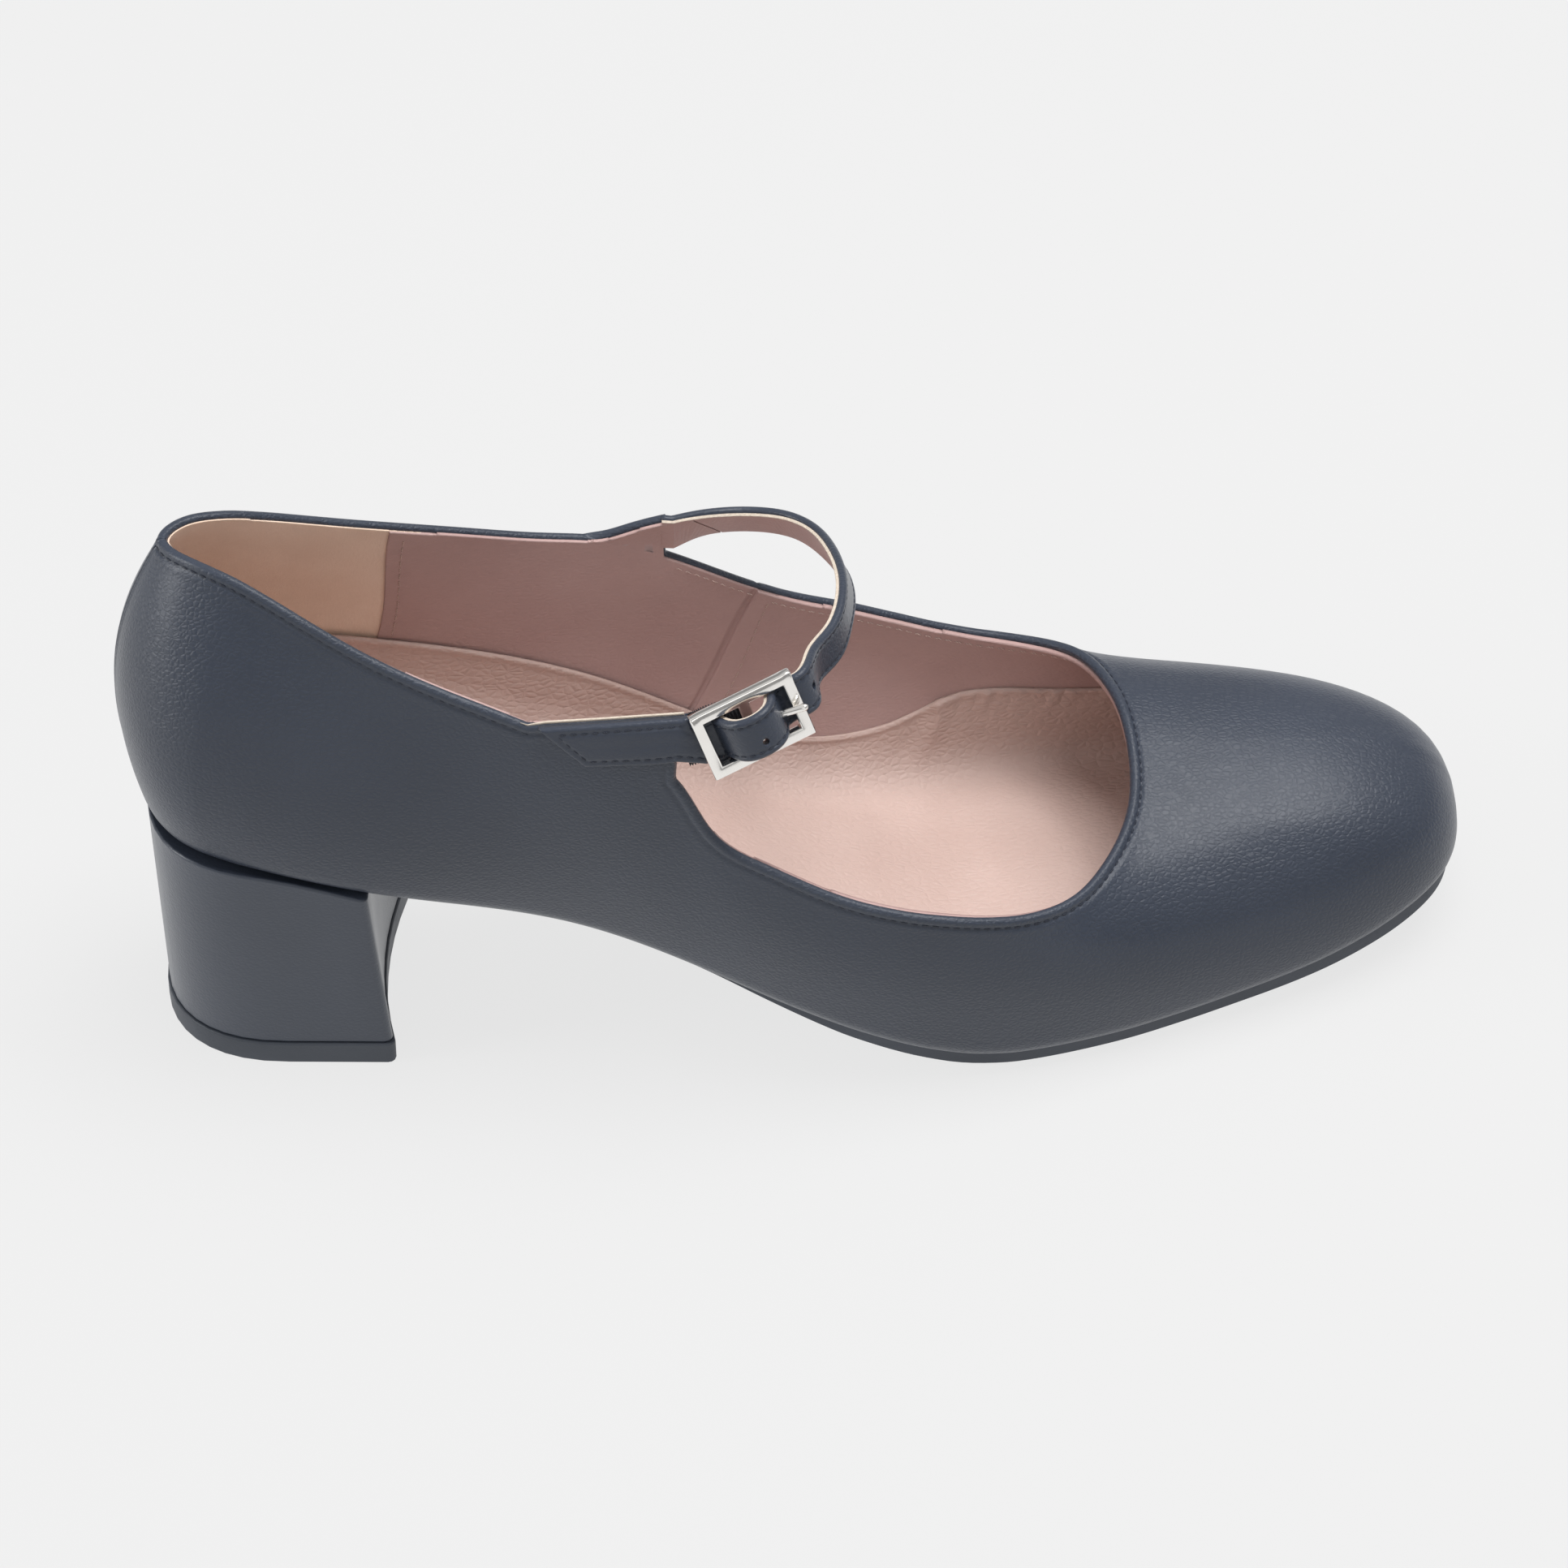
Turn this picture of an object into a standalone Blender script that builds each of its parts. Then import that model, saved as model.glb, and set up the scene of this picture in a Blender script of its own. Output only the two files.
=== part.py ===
"""Mary jane pump for the right foot: a leather upper on a covered block heel, with a buckled instep strap.

The shoe stands on the floor, z = 0, with its toe to +X and its outer side, which has the buckle, to -Y.
Every form comes from one last: a bottom profile, the outline of the feather edge and the topline.
"""
import math

import bmesh
import bpy
import numpy as np
from mathutils import Matrix, Vector

MM = 0.001
COLLECTION = "mary_jane_pump"
CUTTERS = "cutters"

# Driving sizes
LENGTH = 241 * MM             # back of the quarter to the tip of the toe
BALL_WIDTH = 76 * MM          # across the ball, over the upper
SEAT_HEIGHT = 49 * MM         # feather edge above the floor at the back
QUARTER_HEIGHT = 58 * MM      # topline above the feather edge at the back
TOE_SPRING = 10.5 * MM        # rise of the feather edge from the tread to the tip
UPPER_WALL = 2.0 * MM         # leather and lining
MARGIN = 7 * MM               # width of the upper turned in under the insole
FEATHER_RADIUS = 4 * MM       # rounding of the upper's lower edge
INSOLE_THICKNESS = 2.5 * MM
SOLE_THICKNESS = 3.0 * MM
INSOLE_INSET = 4.1 * MM       # edge of the insole inside the feather edge
TOP_PIECE_THICKNESS = 4.7 * MM
HEEL_LENGTH = 41.2 * MM       # back to breast, at the floor
HEEL_WIDTH = 42 * MM          # at the floor
HEEL_BACK = 6 * MM            # back of the heel ahead of the back of the quarter, at the floor
HEEL_SEAT_BACK = 5 * MM       # the same at the seat
HEEL_SEAT_FRONT = 44.5 * MM   # breast ahead of the back of the quarter, at the seat
HEEL_SEAT_WIDTH = 47 * MM
HEEL_PIVOT = 26 * MM          # where the heel's own axis crosses the shoe's
HEEL_SQUARE = 0.86            # 1 is an elliptical back, less is squarer
HEEL_ROUND = 0.55             # share of the heel's length that its curved back takes
HEEL_TURN = -5.4              # degrees from the shoe's length to the heel's own axis
BREAST_HOLLOW = 2.5 * MM      # depth of the curve across the breast, at the floor
BREAST_CORNER = 1.4 * MM      # rounding of the breast's two corners
TOP_PIECE_LIP = 0.4 * MM      # top piece beyond the heel all round
STRAP_WIDTH = 8.2 * MM
STRAP_THICKNESS = 1.8 * MM
STRAP_GAP = 1.2 * MM          # between the strap and its root on the upper
TAB_THICKNESS = 1.6 * MM
ELASTIC_WIDTH = 7.0 * MM
ELASTIC_THICKNESS = 1.0 * MM
BUCKLE_LENGTH = 19 * MM       # along the strap
BUCKLE_BAR = 2.1 * MM         # width of the frame's bars
BUCKLE_THICKNESS = 2.0 * MM
BUCKLE_ROUNDING = 0.3 * MM
BUCKLE_PLAY = 0.3 * MM        # strap to the frame, each side
PRONG_DIAMETER = 1.4 * MM
GAP = 0.3 * MM                # between pieces that touch
WELD = 0.05 * MM              # points closer than this are one
SHARP = math.radians(35)      # faces that meet at more than this keep a hard edge

TREAD = SOLE_THICKNESS + GAP  # feather edge above the floor at the ball

# Bottom of the last in side view. seat: share of the rise to SEAT_HEIGHT; spring: share of TOE_SPRING
PROFILE = [
    # along  seat   spring
    (0.00, 1.000, 0.00),
    (0.06, 0.998, 0.00),
    (0.09, 0.980, 0.00),
    (0.12, 0.945, 0.00),
    (0.15, 0.897, 0.00),
    (0.18, 0.842, 0.00),
    (0.24, 0.728, 0.00),
    (0.30, 0.608, 0.00),
    (0.36, 0.483, 0.00),
    (0.42, 0.355, 0.00),
    (0.48, 0.228, 0.00),
    (0.54, 0.115, 0.00),
    (0.58, 0.053, 0.00),
    (0.62, 0.012, 0.00),
    (0.65, 0.000, 0.00),
    (0.72, 0.000, 0.00),
    (0.77, 0.000, 0.05),
    (0.82, 0.000, 0.15),
    (0.87, 0.000, 0.30),
    (0.92, 0.000, 0.53),
    (0.96, 0.000, 0.77),
    (1.00, 0.000, 1.00),
]

# Feather edge, one row a rib, from the back by the outer side to the toe and back by the inner side.
# along, across: shares of LENGTH and BALL_WIDTH; lean: degrees that the wall starts outwards;
# belly, brow: how far the rib keeps its direction at its lower and upper end, shares of its height;
# fall: degrees below the level at which the wall leaves the topline
FEATHER = [
    # along   across  lean belly brow  fall
    (0.018,  0.026,   14, 0.44, 0.30,  60),
    (0.031, -0.150,   13, 0.44, 0.30,  62),
    (0.071, -0.270,   12, 0.42, 0.30,  68),
    (0.141, -0.322,    8, 0.40, 0.30,  74),
    (0.224, -0.308,   12, 0.40, 0.30,  80),
    (0.324, -0.282,   18, 0.40, 0.30,  84),
    (0.423, -0.345,   20, 0.40, 0.30,  86),
    (0.515, -0.432,   14, 0.45, 0.35,  82),
    (0.614, -0.470,    6, 0.45, 0.40,  78),
    (0.714, -0.425,    7, 0.37, 0.40,  58),
    (0.813, -0.335,    9, 0.32, 0.40,  32),
    (0.900, -0.245,    8, 0.30, 0.38,  17),
    (0.978, -0.089,    9, 0.32, 0.37,  10),
    (0.998,  0.118,   10, 0.36, 0.37,   8),
    (0.991,  0.277,    6, 0.34, 0.36,  10),
    (0.959,  0.408,    2, 0.31, 0.35,  15),
    (0.890,  0.494,    1, 0.33, 0.35,  36),
    (0.775,  0.519,    1, 0.35, 0.34,  61),
    (0.664,  0.512,    5, 0.40, 0.35,  79),
    (0.573,  0.455,    9, 0.45, 0.40,  78),
    (0.481,  0.375,   18, 0.40, 0.32,  84),
    (0.382,  0.312,   20, 0.40, 0.30,  84),
    (0.274,  0.296,   16, 0.40, 0.30,  80),
    (0.166,  0.320,   10, 0.40, 0.30,  74),
    (0.079,  0.280,   13, 0.42, 0.30,  68),
    (0.031,  0.180,   14, 0.44, 0.30,  62),
]
RIBS = len(FEATHER)

# Topline, without the ear under the buckle and the root of the strap. station: the rib's number;
# rise: share of QUARTER_HEIGHT above the bottom
TOPLINE = [
    # station along   across  rise
    (0.00, 0.0470,  0.020, 0.975),
    (1.00, 0.0650, -0.062, 0.985),
    (2.00, 0.1040, -0.140, 0.980),
    (3.00, 0.1680, -0.220, 0.910),
    (4.00, 0.2400, -0.290, 0.875),
    (4.667, 0.2950, -0.333, 0.870),
    (5.20, 0.3520, -0.362, 0.860),
    (5.667, 0.3980, -0.382, 0.840),
    (6.00, 0.4200, -0.402, 0.700),
    (6.50, 0.4600, -0.428, 0.630),
    (7.00, 0.5060, -0.455, 0.605),
    (8.00, 0.5980, -0.474, 0.610),
    (8.70, 0.6550, -0.430, 0.580),
    (10.0, 0.7080, -0.290, 0.570),
    (11.0, 0.7280, -0.180, 0.590),
    (12.0, 0.7390, -0.070, 0.615),
    (13.0, 0.7420,  0.050, 0.650),
    (14.0, 0.7390,  0.170, 0.680),
    (15.0, 0.7300,  0.285, 0.680),
    (16.0, 0.7140,  0.390, 0.665),
    (17.0, 0.6800,  0.470, 0.640),
    (18.0, 0.6220,  0.498, 0.670),
    (19.0, 0.5500,  0.474, 0.740),
    (20.0, 0.4770,  0.434, 0.790),
    (20.667, 0.4080, 0.385, 0.885),
    (21.333, 0.3480, 0.352, 0.903),
    (22.0, 0.2760,  0.303, 0.886),
    (23.0, 0.1660,  0.210, 0.904),
    (24.0, 0.1010,  0.132, 0.960),
    (25.0, 0.0630,  0.085, 0.977),
]

# Upper edge of the ear that the buckle's tab lies on, and of the strap's root
EAR = [
    # station along   across  rise
    (4.667, 0.2950, -0.333, 0.870),
    (5.20, 0.3500, -0.345, 0.975),
    (5.667, 0.4080, -0.345, 1.075),
]
ROOT = [
    (20.667, 0.4080, 0.354, 1.062),
    (21.00, 0.3800, 0.355, 0.982),
    (21.333, 0.3480, 0.352, 0.903),
]

# Middle of the instep strap between its root and the buckle. lean: degrees that its upper edge tips outwards
STRAP = [
    # along   across  rise   lean
    (0.4464, 0.415,  1.015, -27),
    (0.4701, 0.422,  1.046, -28),
    (0.5006, 0.383,  1.105, -26),
    (0.5195, 0.303,  1.153, -20),
    (0.5294, 0.193,  1.203, -20),
    (0.5314, 0.083,  1.237, -15),
    (0.5277, -0.012, 1.245,  -9),
    (0.5175, -0.107, 1.226,  -8),
    (0.4995, -0.214, 1.222,  -8),
]
STRAP_SQUARE = 1.5            # widths over which the strap's start turns square to its run

# Edge of the outsole inside the feather edge
SOLE_INSET = [
    # along  inset
    (0.18, 6.0 * MM),
    (0.30, 6.5 * MM),
    (0.42, 5.5 * MM),
    (0.52, 3.5 * MM),
    (0.60, 2.8 * MM),
    (1.00, 2.2 * MM),
]
SOLE_SLANT = 0.25             # share of LENGTH over which the slant of the outsole's rear end fades

# How the buckle lies
BAR_AHEAD = 3.0 * MM          # frame's rear bar ahead of the ear
BUCKLE_DROP = 2.0 * MM        # buckle's middle below the line of the tab
BUCKLE_HEADING = 16.0         # degrees from the shoe's length
BUCKLE_PITCH = 16.0           # degrees that its front is up
BUCKLE_LEAN = 18.0            # degrees that it faces up
ELASTIC_LEVEL = (-0.45, -0.30)    # shares of the buckle's length between which the elastic lies level
# Strap inside the buckle. share: of the way from the centre bar to the front bar; out: height
HUMP = [
    # share   out
    (0.62, -1.2 * MM),
    (0.50, 1.6 * MM),
    (0.30, 3.9 * MM),
    (0.00, 4.7 * MM),
    (-0.30, 3.9 * MM),
    (-0.50, 1.4 * MM),
    (-0.60, -1.2 * MM),
]
LEAD = 1.22                   # where the strap comes flat to the buckle, a share as above
HOLE_SPAN = (1.6 * MM, 7.2 * MM)  # ends of the prong's hole, ahead of the buckle's middle
TAB_START = 0.08              # stations from the ear's rear end to the tab's
TAB_SLANT = 0.30              # stations that the tab's cut rear end runs forward
TAB_SHARE = 0.68              # tab's front end, as a share of the way from the buckle's middle to its rear

FOOT_PULL = 15 * MM           # keeps each rib's top leaning towards its own side
NEAR_TOP = 0.97               # where on a rib its direction below the topline is taken
COLUMNS = 3                   # columns of faces for each rib
STRAP_STEPS = 4               # rows of faces for each row of the strap
EXTRA_TURN = 3                # columns of the lower edge's rounding


def spline(knots, values, query, period=None):
    """Cubic spline through rows of values: natural, or closed where a period is given."""
    x = np.asarray(knots, float)
    y = np.asarray(values, float)
    q = np.asarray(query, float)
    if period:
        q = np.mod(q - x[0], period) + x[0]
        x = np.append(x, x[0] + period)
        y = np.vstack([y, y[:1]])
    n = len(x)
    step = np.diff(x)
    slope = np.diff(y, axis=0) / step[:, None]
    system = np.eye(n)
    right = np.zeros_like(y)
    for i in range(1, n - 1):
        system[i, i - 1:i + 2] = step[i - 1], 2 * (step[i - 1] + step[i]), step[i]
        right[i] = 6 * (slope[i] - slope[i - 1])
    if period:
        system[0, :2] = 2 * (step[-1] + step[0]), step[0]
        system[0, n - 2] = step[-1]
        right[0] = 6 * (slope[0] - slope[-1])
        system[n - 1, 0] = -1
    bend = np.linalg.solve(system, right)
    i = np.clip(np.searchsorted(x, q, side="right") - 1, 0, n - 2)
    t = (q - x[i])[:, None]
    h = step[i][:, None]
    return (y[i] + t * (slope[i] - h * (2 * bend[i] + bend[i + 1]) / 6)
            + t ** 2 * bend[i] / 2 + t ** 3 * (bend[i + 1] - bend[i]) / (6 * h))


def smooth_table(knots, values, query):
    """Cubic through a table that never overshoots, so that a flat stretch stays flat."""
    x, y = np.asarray(knots, float), np.asarray(values, float)
    h = np.diff(x)
    d = np.diff(y) / h
    m = np.zeros_like(y)
    for i in range(1, len(x) - 1):
        if d[i - 1] * d[i] > 0:
            w1, w2 = 2 * h[i] + h[i - 1], h[i] + 2 * h[i - 1]
            m[i] = (w1 + w2) / (w1 / d[i - 1] + w2 / d[i])
    m[0], m[-1] = d[0], d[-1]
    q = np.clip(np.asarray(query, float), x[0], x[-1])
    i = np.clip(np.searchsorted(x, q, side="right") - 1, 0, len(x) - 2)
    t = (q - x[i]) / h[i]
    return ((1 + 2 * t) * (1 - t) ** 2 * y[i] + t * (1 - t) ** 2 * h[i] * m[i]
            + t ** 2 * (3 - 2 * t) * y[i + 1] + t ** 2 * (t - 1) * h[i] * m[i + 1])


def unit(v):
    return v / np.linalg.norm(v, axis=-1, keepdims=True)


def bottom(x):
    """Height of the feather edge at the distance x from the back."""
    rows = np.array(PROFILE)
    share = np.asarray(x) / LENGTH
    seat = smooth_table(rows[:, 0], rows[:, 1], share)
    spring = smooth_table(rows[:, 0], rows[:, 2], share)
    return TREAD + seat * (SEAT_HEIGHT - TREAD) + spring * TOE_SPRING


def bottom_up(x):
    """Direction at right angles to the bottom, in side view."""
    step = 0.5 * MM
    slope = (bottom(x + step) - bottom(x - step)) / (2 * step)
    return unit(np.stack([-slope, 0 * slope, 1 + 0 * slope], -1))


def place(rows):
    """Points from rows of along, across and rise."""
    x = rows[:, 0] * LENGTH
    return np.stack([x, rows[:, 1] * BALL_WIDTH, bottom(x) + rows[:, 2] * QUARTER_HEIGHT], -1)


def feather(s):
    """Feather edge at the stations s: points, outward direction and the ribs' numbers."""
    rows = np.array(FEATHER, float)
    step = 0.02
    table = spline(np.arange(RIBS), rows, s, RIBS)
    after = spline(np.arange(RIBS), rows, np.asarray(s) + step, RIBS)
    run = (after[:, :2] - table[:, :2]) * [LENGTH, BALL_WIDTH]
    out = unit(np.stack([run[:, 1], -run[:, 0], 0 * run[:, 0]], -1))
    x = table[:, 0] * LENGTH
    return np.stack([x, table[:, 1] * BALL_WIDTH, bottom(x)], -1), out, table


def topline(s):
    rows = np.array(TOPLINE)
    return place(spline(rows[:, 0], rows[:, 1:], s, RIBS))


def wall(s, t):
    """Outer face of the upper at stations s, from the rounded lower edge, t = 0, to the topline, t = 1."""
    edge, out, table = feather(s)
    top = topline(s)
    lean, fall = np.radians(table[:, 2:3]), np.radians(table[:, 5:6])
    rise = bottom_up(edge[:, 0]) * np.cos(lean) + out * np.sin(lean)
    start = edge + rise * FEATHER_RADIUS
    reach = unit((edge - top) * [1, 1, 0] + out * FOOT_PULL)
    leave = reach * np.cos(fall) - np.array([0, 0, 1]) * np.sin(fall)
    height = np.linalg.norm(top - start, axis=-1, keepdims=True)
    low, high = start + rise * height * table[:, 3:4], top + leave * height * table[:, 4:5]
    t = np.asarray(t, float)[None, :, None]
    return ((1 - t) ** 3 * start[:, None] + 3 * t * (1 - t) ** 2 * low[:, None]
            + 3 * t ** 2 * (1 - t) * high[:, None] + t ** 3 * top[:, None])


def turned_edge(s, shares):
    """Rounded lower edge of the upper, from the margin under the foot, share 0, to the foot of the wall."""
    edge, out, table = feather(s)
    lean = np.radians(table[:, 2:3])
    rise = bottom_up(edge[:, 0]) * np.cos(lean) + out * np.sin(lean)
    under = edge - out * FEATHER_RADIUS
    under[:, 2] = bottom(under[:, 0])
    k = np.asarray(shares, float)[None, :, None]
    return ((1 - k) ** 2 * under[:, None] + 2 * k * (1 - k) * edge[:, None]
            + k ** 2 * (edge + rise * FEATHER_RADIUS)[:, None])


def margin(s, widths):
    """Part of the upper that lies under the insole, at each width from the feather edge."""
    edge, out, _ = feather(s)
    points = edge[:, None] - out[:, None] * np.asarray(widths)[None, :, None]
    points[..., 2] = bottom(points[..., 0])
    return points


def flap(table, s, k):
    """Wall carried on above the topline to the table's edge, k = 0 to 1."""
    rows = np.array(table)
    low = topline(s)
    high = place(spline(rows[:, 0], rows[:, 1:], s))
    before = wall(s, [NEAR_TOP])[:, 0]
    height = np.linalg.norm(high - low, axis=-1, keepdims=True)
    middle = low + unit(low - before) * height / 2
    k = np.asarray(k, float)[None, :, None]
    return (1 - k) ** 2 * low[:, None] + 2 * k * (1 - k) * middle[:, None] + k ** 2 * high[:, None]


def column_down(s, lengths):
    """Outer face of the ear and wall at the station s, at distances down from the ear's upper edge."""
    upper = flap(EAR, np.array([s]), np.linspace(1, 0, 9))[0]
    lower = wall(np.array([s]), np.linspace(1, 0, 40))[0]
    line = np.vstack([upper, lower[1:]])
    reach = np.concatenate([[0], np.cumsum(np.linalg.norm(np.diff(line, axis=0), axis=1))])
    return np.stack([np.interp(lengths, reach, line[:, k]) for k in range(3)], -1)


def buckle_axes():
    """Middle of the buckle, and its directions along the strap, up across it and outwards."""
    heading, pitch, lean = map(math.radians, (BUCKLE_HEADING, BUCKLE_PITCH, BUCKLE_LEAN))
    side = np.array([math.sin(heading), -math.cos(heading), 0])
    ahead = np.array([math.cos(heading), math.sin(heading), 0])
    along = ahead * math.cos(pitch) + np.array([0, 0, 1]) * math.sin(pitch)
    level = np.cross(side, along)
    up, out = level * math.cos(lean) - side * math.sin(lean), side * math.cos(lean) + level * math.sin(lean)
    ear = column_down(EAR[-1][0], [STRAP_WIDTH / 2])[0]
    reach = BAR_AHEAD + (BUCKLE_LENGTH - BUCKLE_BAR) / 2
    depth = GAP + TAB_THICKNESS + GAP + BUCKLE_THICKNESS / 2
    return ear + along * reach - up * BUCKLE_DROP + out * depth, along, up, out


def material(name, colour, roughness, metallic=0.0):
    made = bpy.data.materials.new(name)
    made.use_nodes = True
    shader = made.node_tree.nodes["Principled BSDF"]
    shader.inputs["Base Color"].default_value = (*colour, 1)
    shader.inputs["Roughness"].default_value = roughness
    shader.inputs["Metallic"].default_value = metallic
    return made


def new_object(name, bm, looks):
    """Object from a bmesh, its double points made one."""
    bmesh.ops.remove_doubles(bm, verts=bm.verts, dist=WELD)
    mesh = bpy.data.meshes.new(name)
    bm.to_mesh(mesh)
    bm.free()
    mesh.materials.append(looks)
    mesh.shade_smooth()
    mesh.set_sharp_from_angle(angle=SHARP)
    made = bpy.data.objects.new(name, mesh)
    bpy.data.collections[COLLECTION].objects.link(made)
    return made


def subtract(made, name, bm):
    """Cut the shape in a bmesh out of a piece."""
    mesh = bpy.data.meshes.new(name)
    bm.to_mesh(mesh)
    bm.free()
    cutter = bpy.data.objects.new(name, mesh)
    cutter.hide_render = True
    cutter.display_type = "WIRE"
    bpy.data.collections[CUTTERS].objects.link(cutter)
    modifier = made.modifiers.new(name, "BOOLEAN")
    modifier.operation = "DIFFERENCE"
    modifier.solver = "EXACT"
    modifier.object = cutter


def add_grid(bm, points, closed=False):
    """Faces between rows of points, facing run x column; a closed grid joins its last row to its first."""
    verts = [[bm.verts.new(p) for p in row] for row in points]
    rows = len(verts)
    for i in range(rows if closed else rows - 1):
        here, after = verts[i], verts[(i + 1) % rows]
        for j in range(len(here) - 1):
            bm.faces.new((here[j], after[j], after[j + 1], here[j + 1]))


def thicken(made, thickness, offset):
    """Solidify a face grid; offset -1 keeps the grid as the outer face, 0 as the middle."""
    modifier = made.modifiers.new("Thickness", "SOLIDIFY")
    modifier.thickness = thickness
    modifier.offset = offset
    modifier.use_even_offset = True
    modifier.use_quality_normals = True


def make_upper():
    stations = np.arange(RIBS * COLUMNS) / COLUMNS
    widths = np.linspace(MARGIN, FEATHER_RADIUS, 3)[:-1]
    under = margin(stations, widths)
    turn = turned_edge(stations, np.linspace(0, 1, EXTRA_TURN + 2))
    side = wall(stations, np.linspace(0, 1, 10)[1:])
    bm = bmesh.new()
    add_grid(bm, np.concatenate([under, turn, side], axis=1), closed=True)
    for table in (EAR, ROOT):
        first, last = round(table[0][0] * COLUMNS), round(table[-1][0] * COLUMNS)
        columns = np.arange(first, last + 1) / COLUMNS
        add_grid(bm, flap(table, columns, np.linspace(0, 1, 4)))
    made = new_object("upper", bm, material("leather", (0.053, 0.065, 0.085), 0.45))
    thicken(made, UPPER_WALL, -1)
    return made


def outline(inset, rows, start):
    """Both edges of the feather outline moved in by an inset, at shares of the length from the start."""
    stations = np.linspace(0, RIBS, 40 * RIBS, endpoint=False)
    edge, out, _ = feather(stations)
    table = np.array(inset)
    points = edge - out * np.interp(edge[:, 0] / LENGTH, table[:, 0], table[:, 1])[:, None]
    tip, back = np.argmax(points[:, 0]), np.argmin(points[:, 0])
    points = np.roll(points, -back, axis=0)
    tip = (tip - back) % len(points)
    outer, inner = points[:tip + 1], points[tip:][::-1]
    low, high = max(start, points[:, 0].min()), points[tip, 0]
    x = low + (high - low) * rows
    inner = np.vstack([inner, outer[:1]]) if inner[-1, 0] > outer[0, 0] else inner
    order = np.argsort(inner[:, 0])
    left = np.interp(x, outer[:, 0], outer[:, 1])
    right = np.interp(x, inner[order, 0], inner[order, 1])
    return x, left, right


def sole_rows(count, round_start):
    """Shares of the length, closer together where the outline is round."""
    turn = np.linspace(0, 1, count)
    if round_start:
        return 0.5 - 0.5 * np.cos(math.pi * turn)
    return np.sin(0.5 * math.pi * turn)


def make_sheet(name, x, left, right, height, skew, across, looks):
    """Grid between two edges at the bottom's own height plus a distance; skew slants its first rows."""
    share = np.linspace(0, 1, across)
    y = left[:, None] + (right - left)[:, None] * share
    grid_x = x[:, None] + y * skew[:, None]
    points = np.stack([grid_x, y, bottom(grid_x) + height], -1)
    bm = bmesh.new()
    add_grid(bm, points)
    return new_object(name, bm, looks)


def make_insole():
    x, left, right = outline([(0, INSOLE_INSET)], sole_rows(46, True), 0)
    height = UPPER_WALL + 2 * GAP + INSOLE_THICKNESS
    made = make_sheet("insole", x, left, right, height, 0 * x, 7, material("sock", (0.62, 0.45, 0.40), 0.5))
    thicken(made, INSOLE_THICKNESS, -1)
    return made


def make_outsole():
    under = HEEL_PIVOT + (HEEL_SEAT_FRONT - HEEL_PIVOT) / math.cos(math.radians(HEEL_TURN))
    slope = float(bottom(under) - bottom(under + MM)) / MM
    start = under + 2 * GAP + SOLE_THICKNESS * slope
    x, left, right = outline(SOLE_INSET, sole_rows(30, False), start)
    slant = math.tan(math.radians(-HEEL_TURN)) * np.clip(1 - (x - start) / (SOLE_SLANT * LENGTH), 0, 1)
    made = make_sheet("outsole", x, left, right, -GAP, slant, 7, material("sole", (0.05, 0.055, 0.065), 0.6))
    thicken(made, SOLE_THICKNESS, -1)
    return made


def heel_ring(level, grow):
    """Outline of the heel in plan at a level from the floor, 0, to the seat, 1: back, outer side, breast."""
    width = np.interp(level, [0, 1], [HEEL_WIDTH, HEEL_SEAT_WIDTH]) / 2 + grow
    back = np.interp(level, [0, 1], [HEEL_BACK, HEEL_SEAT_BACK]) - grow
    front = np.interp(level, [0, 1], [HEEL_BACK + HEEL_LENGTH, HEEL_SEAT_FRONT]) + grow
    straight = back + HEEL_ROUND * (front - back)
    arc = [(straight - (straight - back) * math.cos(a) ** HEEL_SQUARE, -width * math.sin(a) ** HEEL_SQUARE)
           for a in np.linspace(0, math.pi / 2, 11)]
    sides = [(x, -width) for x in np.linspace(straight, front - BREAST_CORNER, 4)[1:3]]
    corner = [(front - BREAST_CORNER * (1 - math.sin(a)), -width + BREAST_CORNER * (1 - math.cos(a)))
              for a in np.linspace(0, math.pi / 2, 4)]
    half = width - BREAST_CORNER
    hollow = BREAST_HOLLOW * (1 - level ** 2)
    breast = [(front - hollow * (1 - (y / half) ** 2), y) for y in np.linspace(-half, 0, 5)[1:]]
    outer = arc + sides + corner + breast
    ring = np.array(outer + [(x, -y) for x, y in outer[-2:0:-1]])
    turn = math.radians(HEEL_TURN)
    middle = np.array([HEEL_PIVOT, 0])
    spin = np.array([[math.cos(turn), math.sin(turn)], [-math.sin(turn), math.cos(turn)]])
    return (ring - middle) @ spin + middle


def loft(name, rings, looks):
    """Closed solid through rings of points, capped at both ends."""
    bm = bmesh.new()
    verts = [[bm.verts.new(p) for p in ring] for ring in rings]
    count = len(rings[0])
    for low, high in zip(verts, verts[1:]):
        for j in range(count):
            bm.faces.new((low[j], low[(j + 1) % count], high[(j + 1) % count], high[j]))
    caps = [bm.faces.new(verts[0]), bm.faces.new(verts[-1])]
    bmesh.ops.triangulate(bm, faces=caps)
    bmesh.ops.recalc_face_normals(bm, faces=bm.faces)
    return new_object(name, bm, looks)


def make_heel():
    floor = TOP_PIECE_THICKNESS + GAP
    rings = []
    for level in np.linspace(0, 1, 7):
        ring = heel_ring(level, 0)
        top = bottom(ring[:, 0]) - GAP
        rings.append(np.column_stack([ring, floor + level * (top - floor)]))
    loft("heel", rings, material("covered_heel", (0.06, 0.072, 0.092), 0.4))


def make_top_piece():
    rings = []
    for height, grow in ((0, TOP_PIECE_LIP), (TOP_PIECE_THICKNESS, TOP_PIECE_LIP)):
        ring = heel_ring(0, grow)
        rings.append(np.column_stack([ring, np.full(len(ring), height)]))
    loft("heel_top_piece", rings, material("rubber", (0.04, 0.045, 0.055), 0.7))


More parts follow.
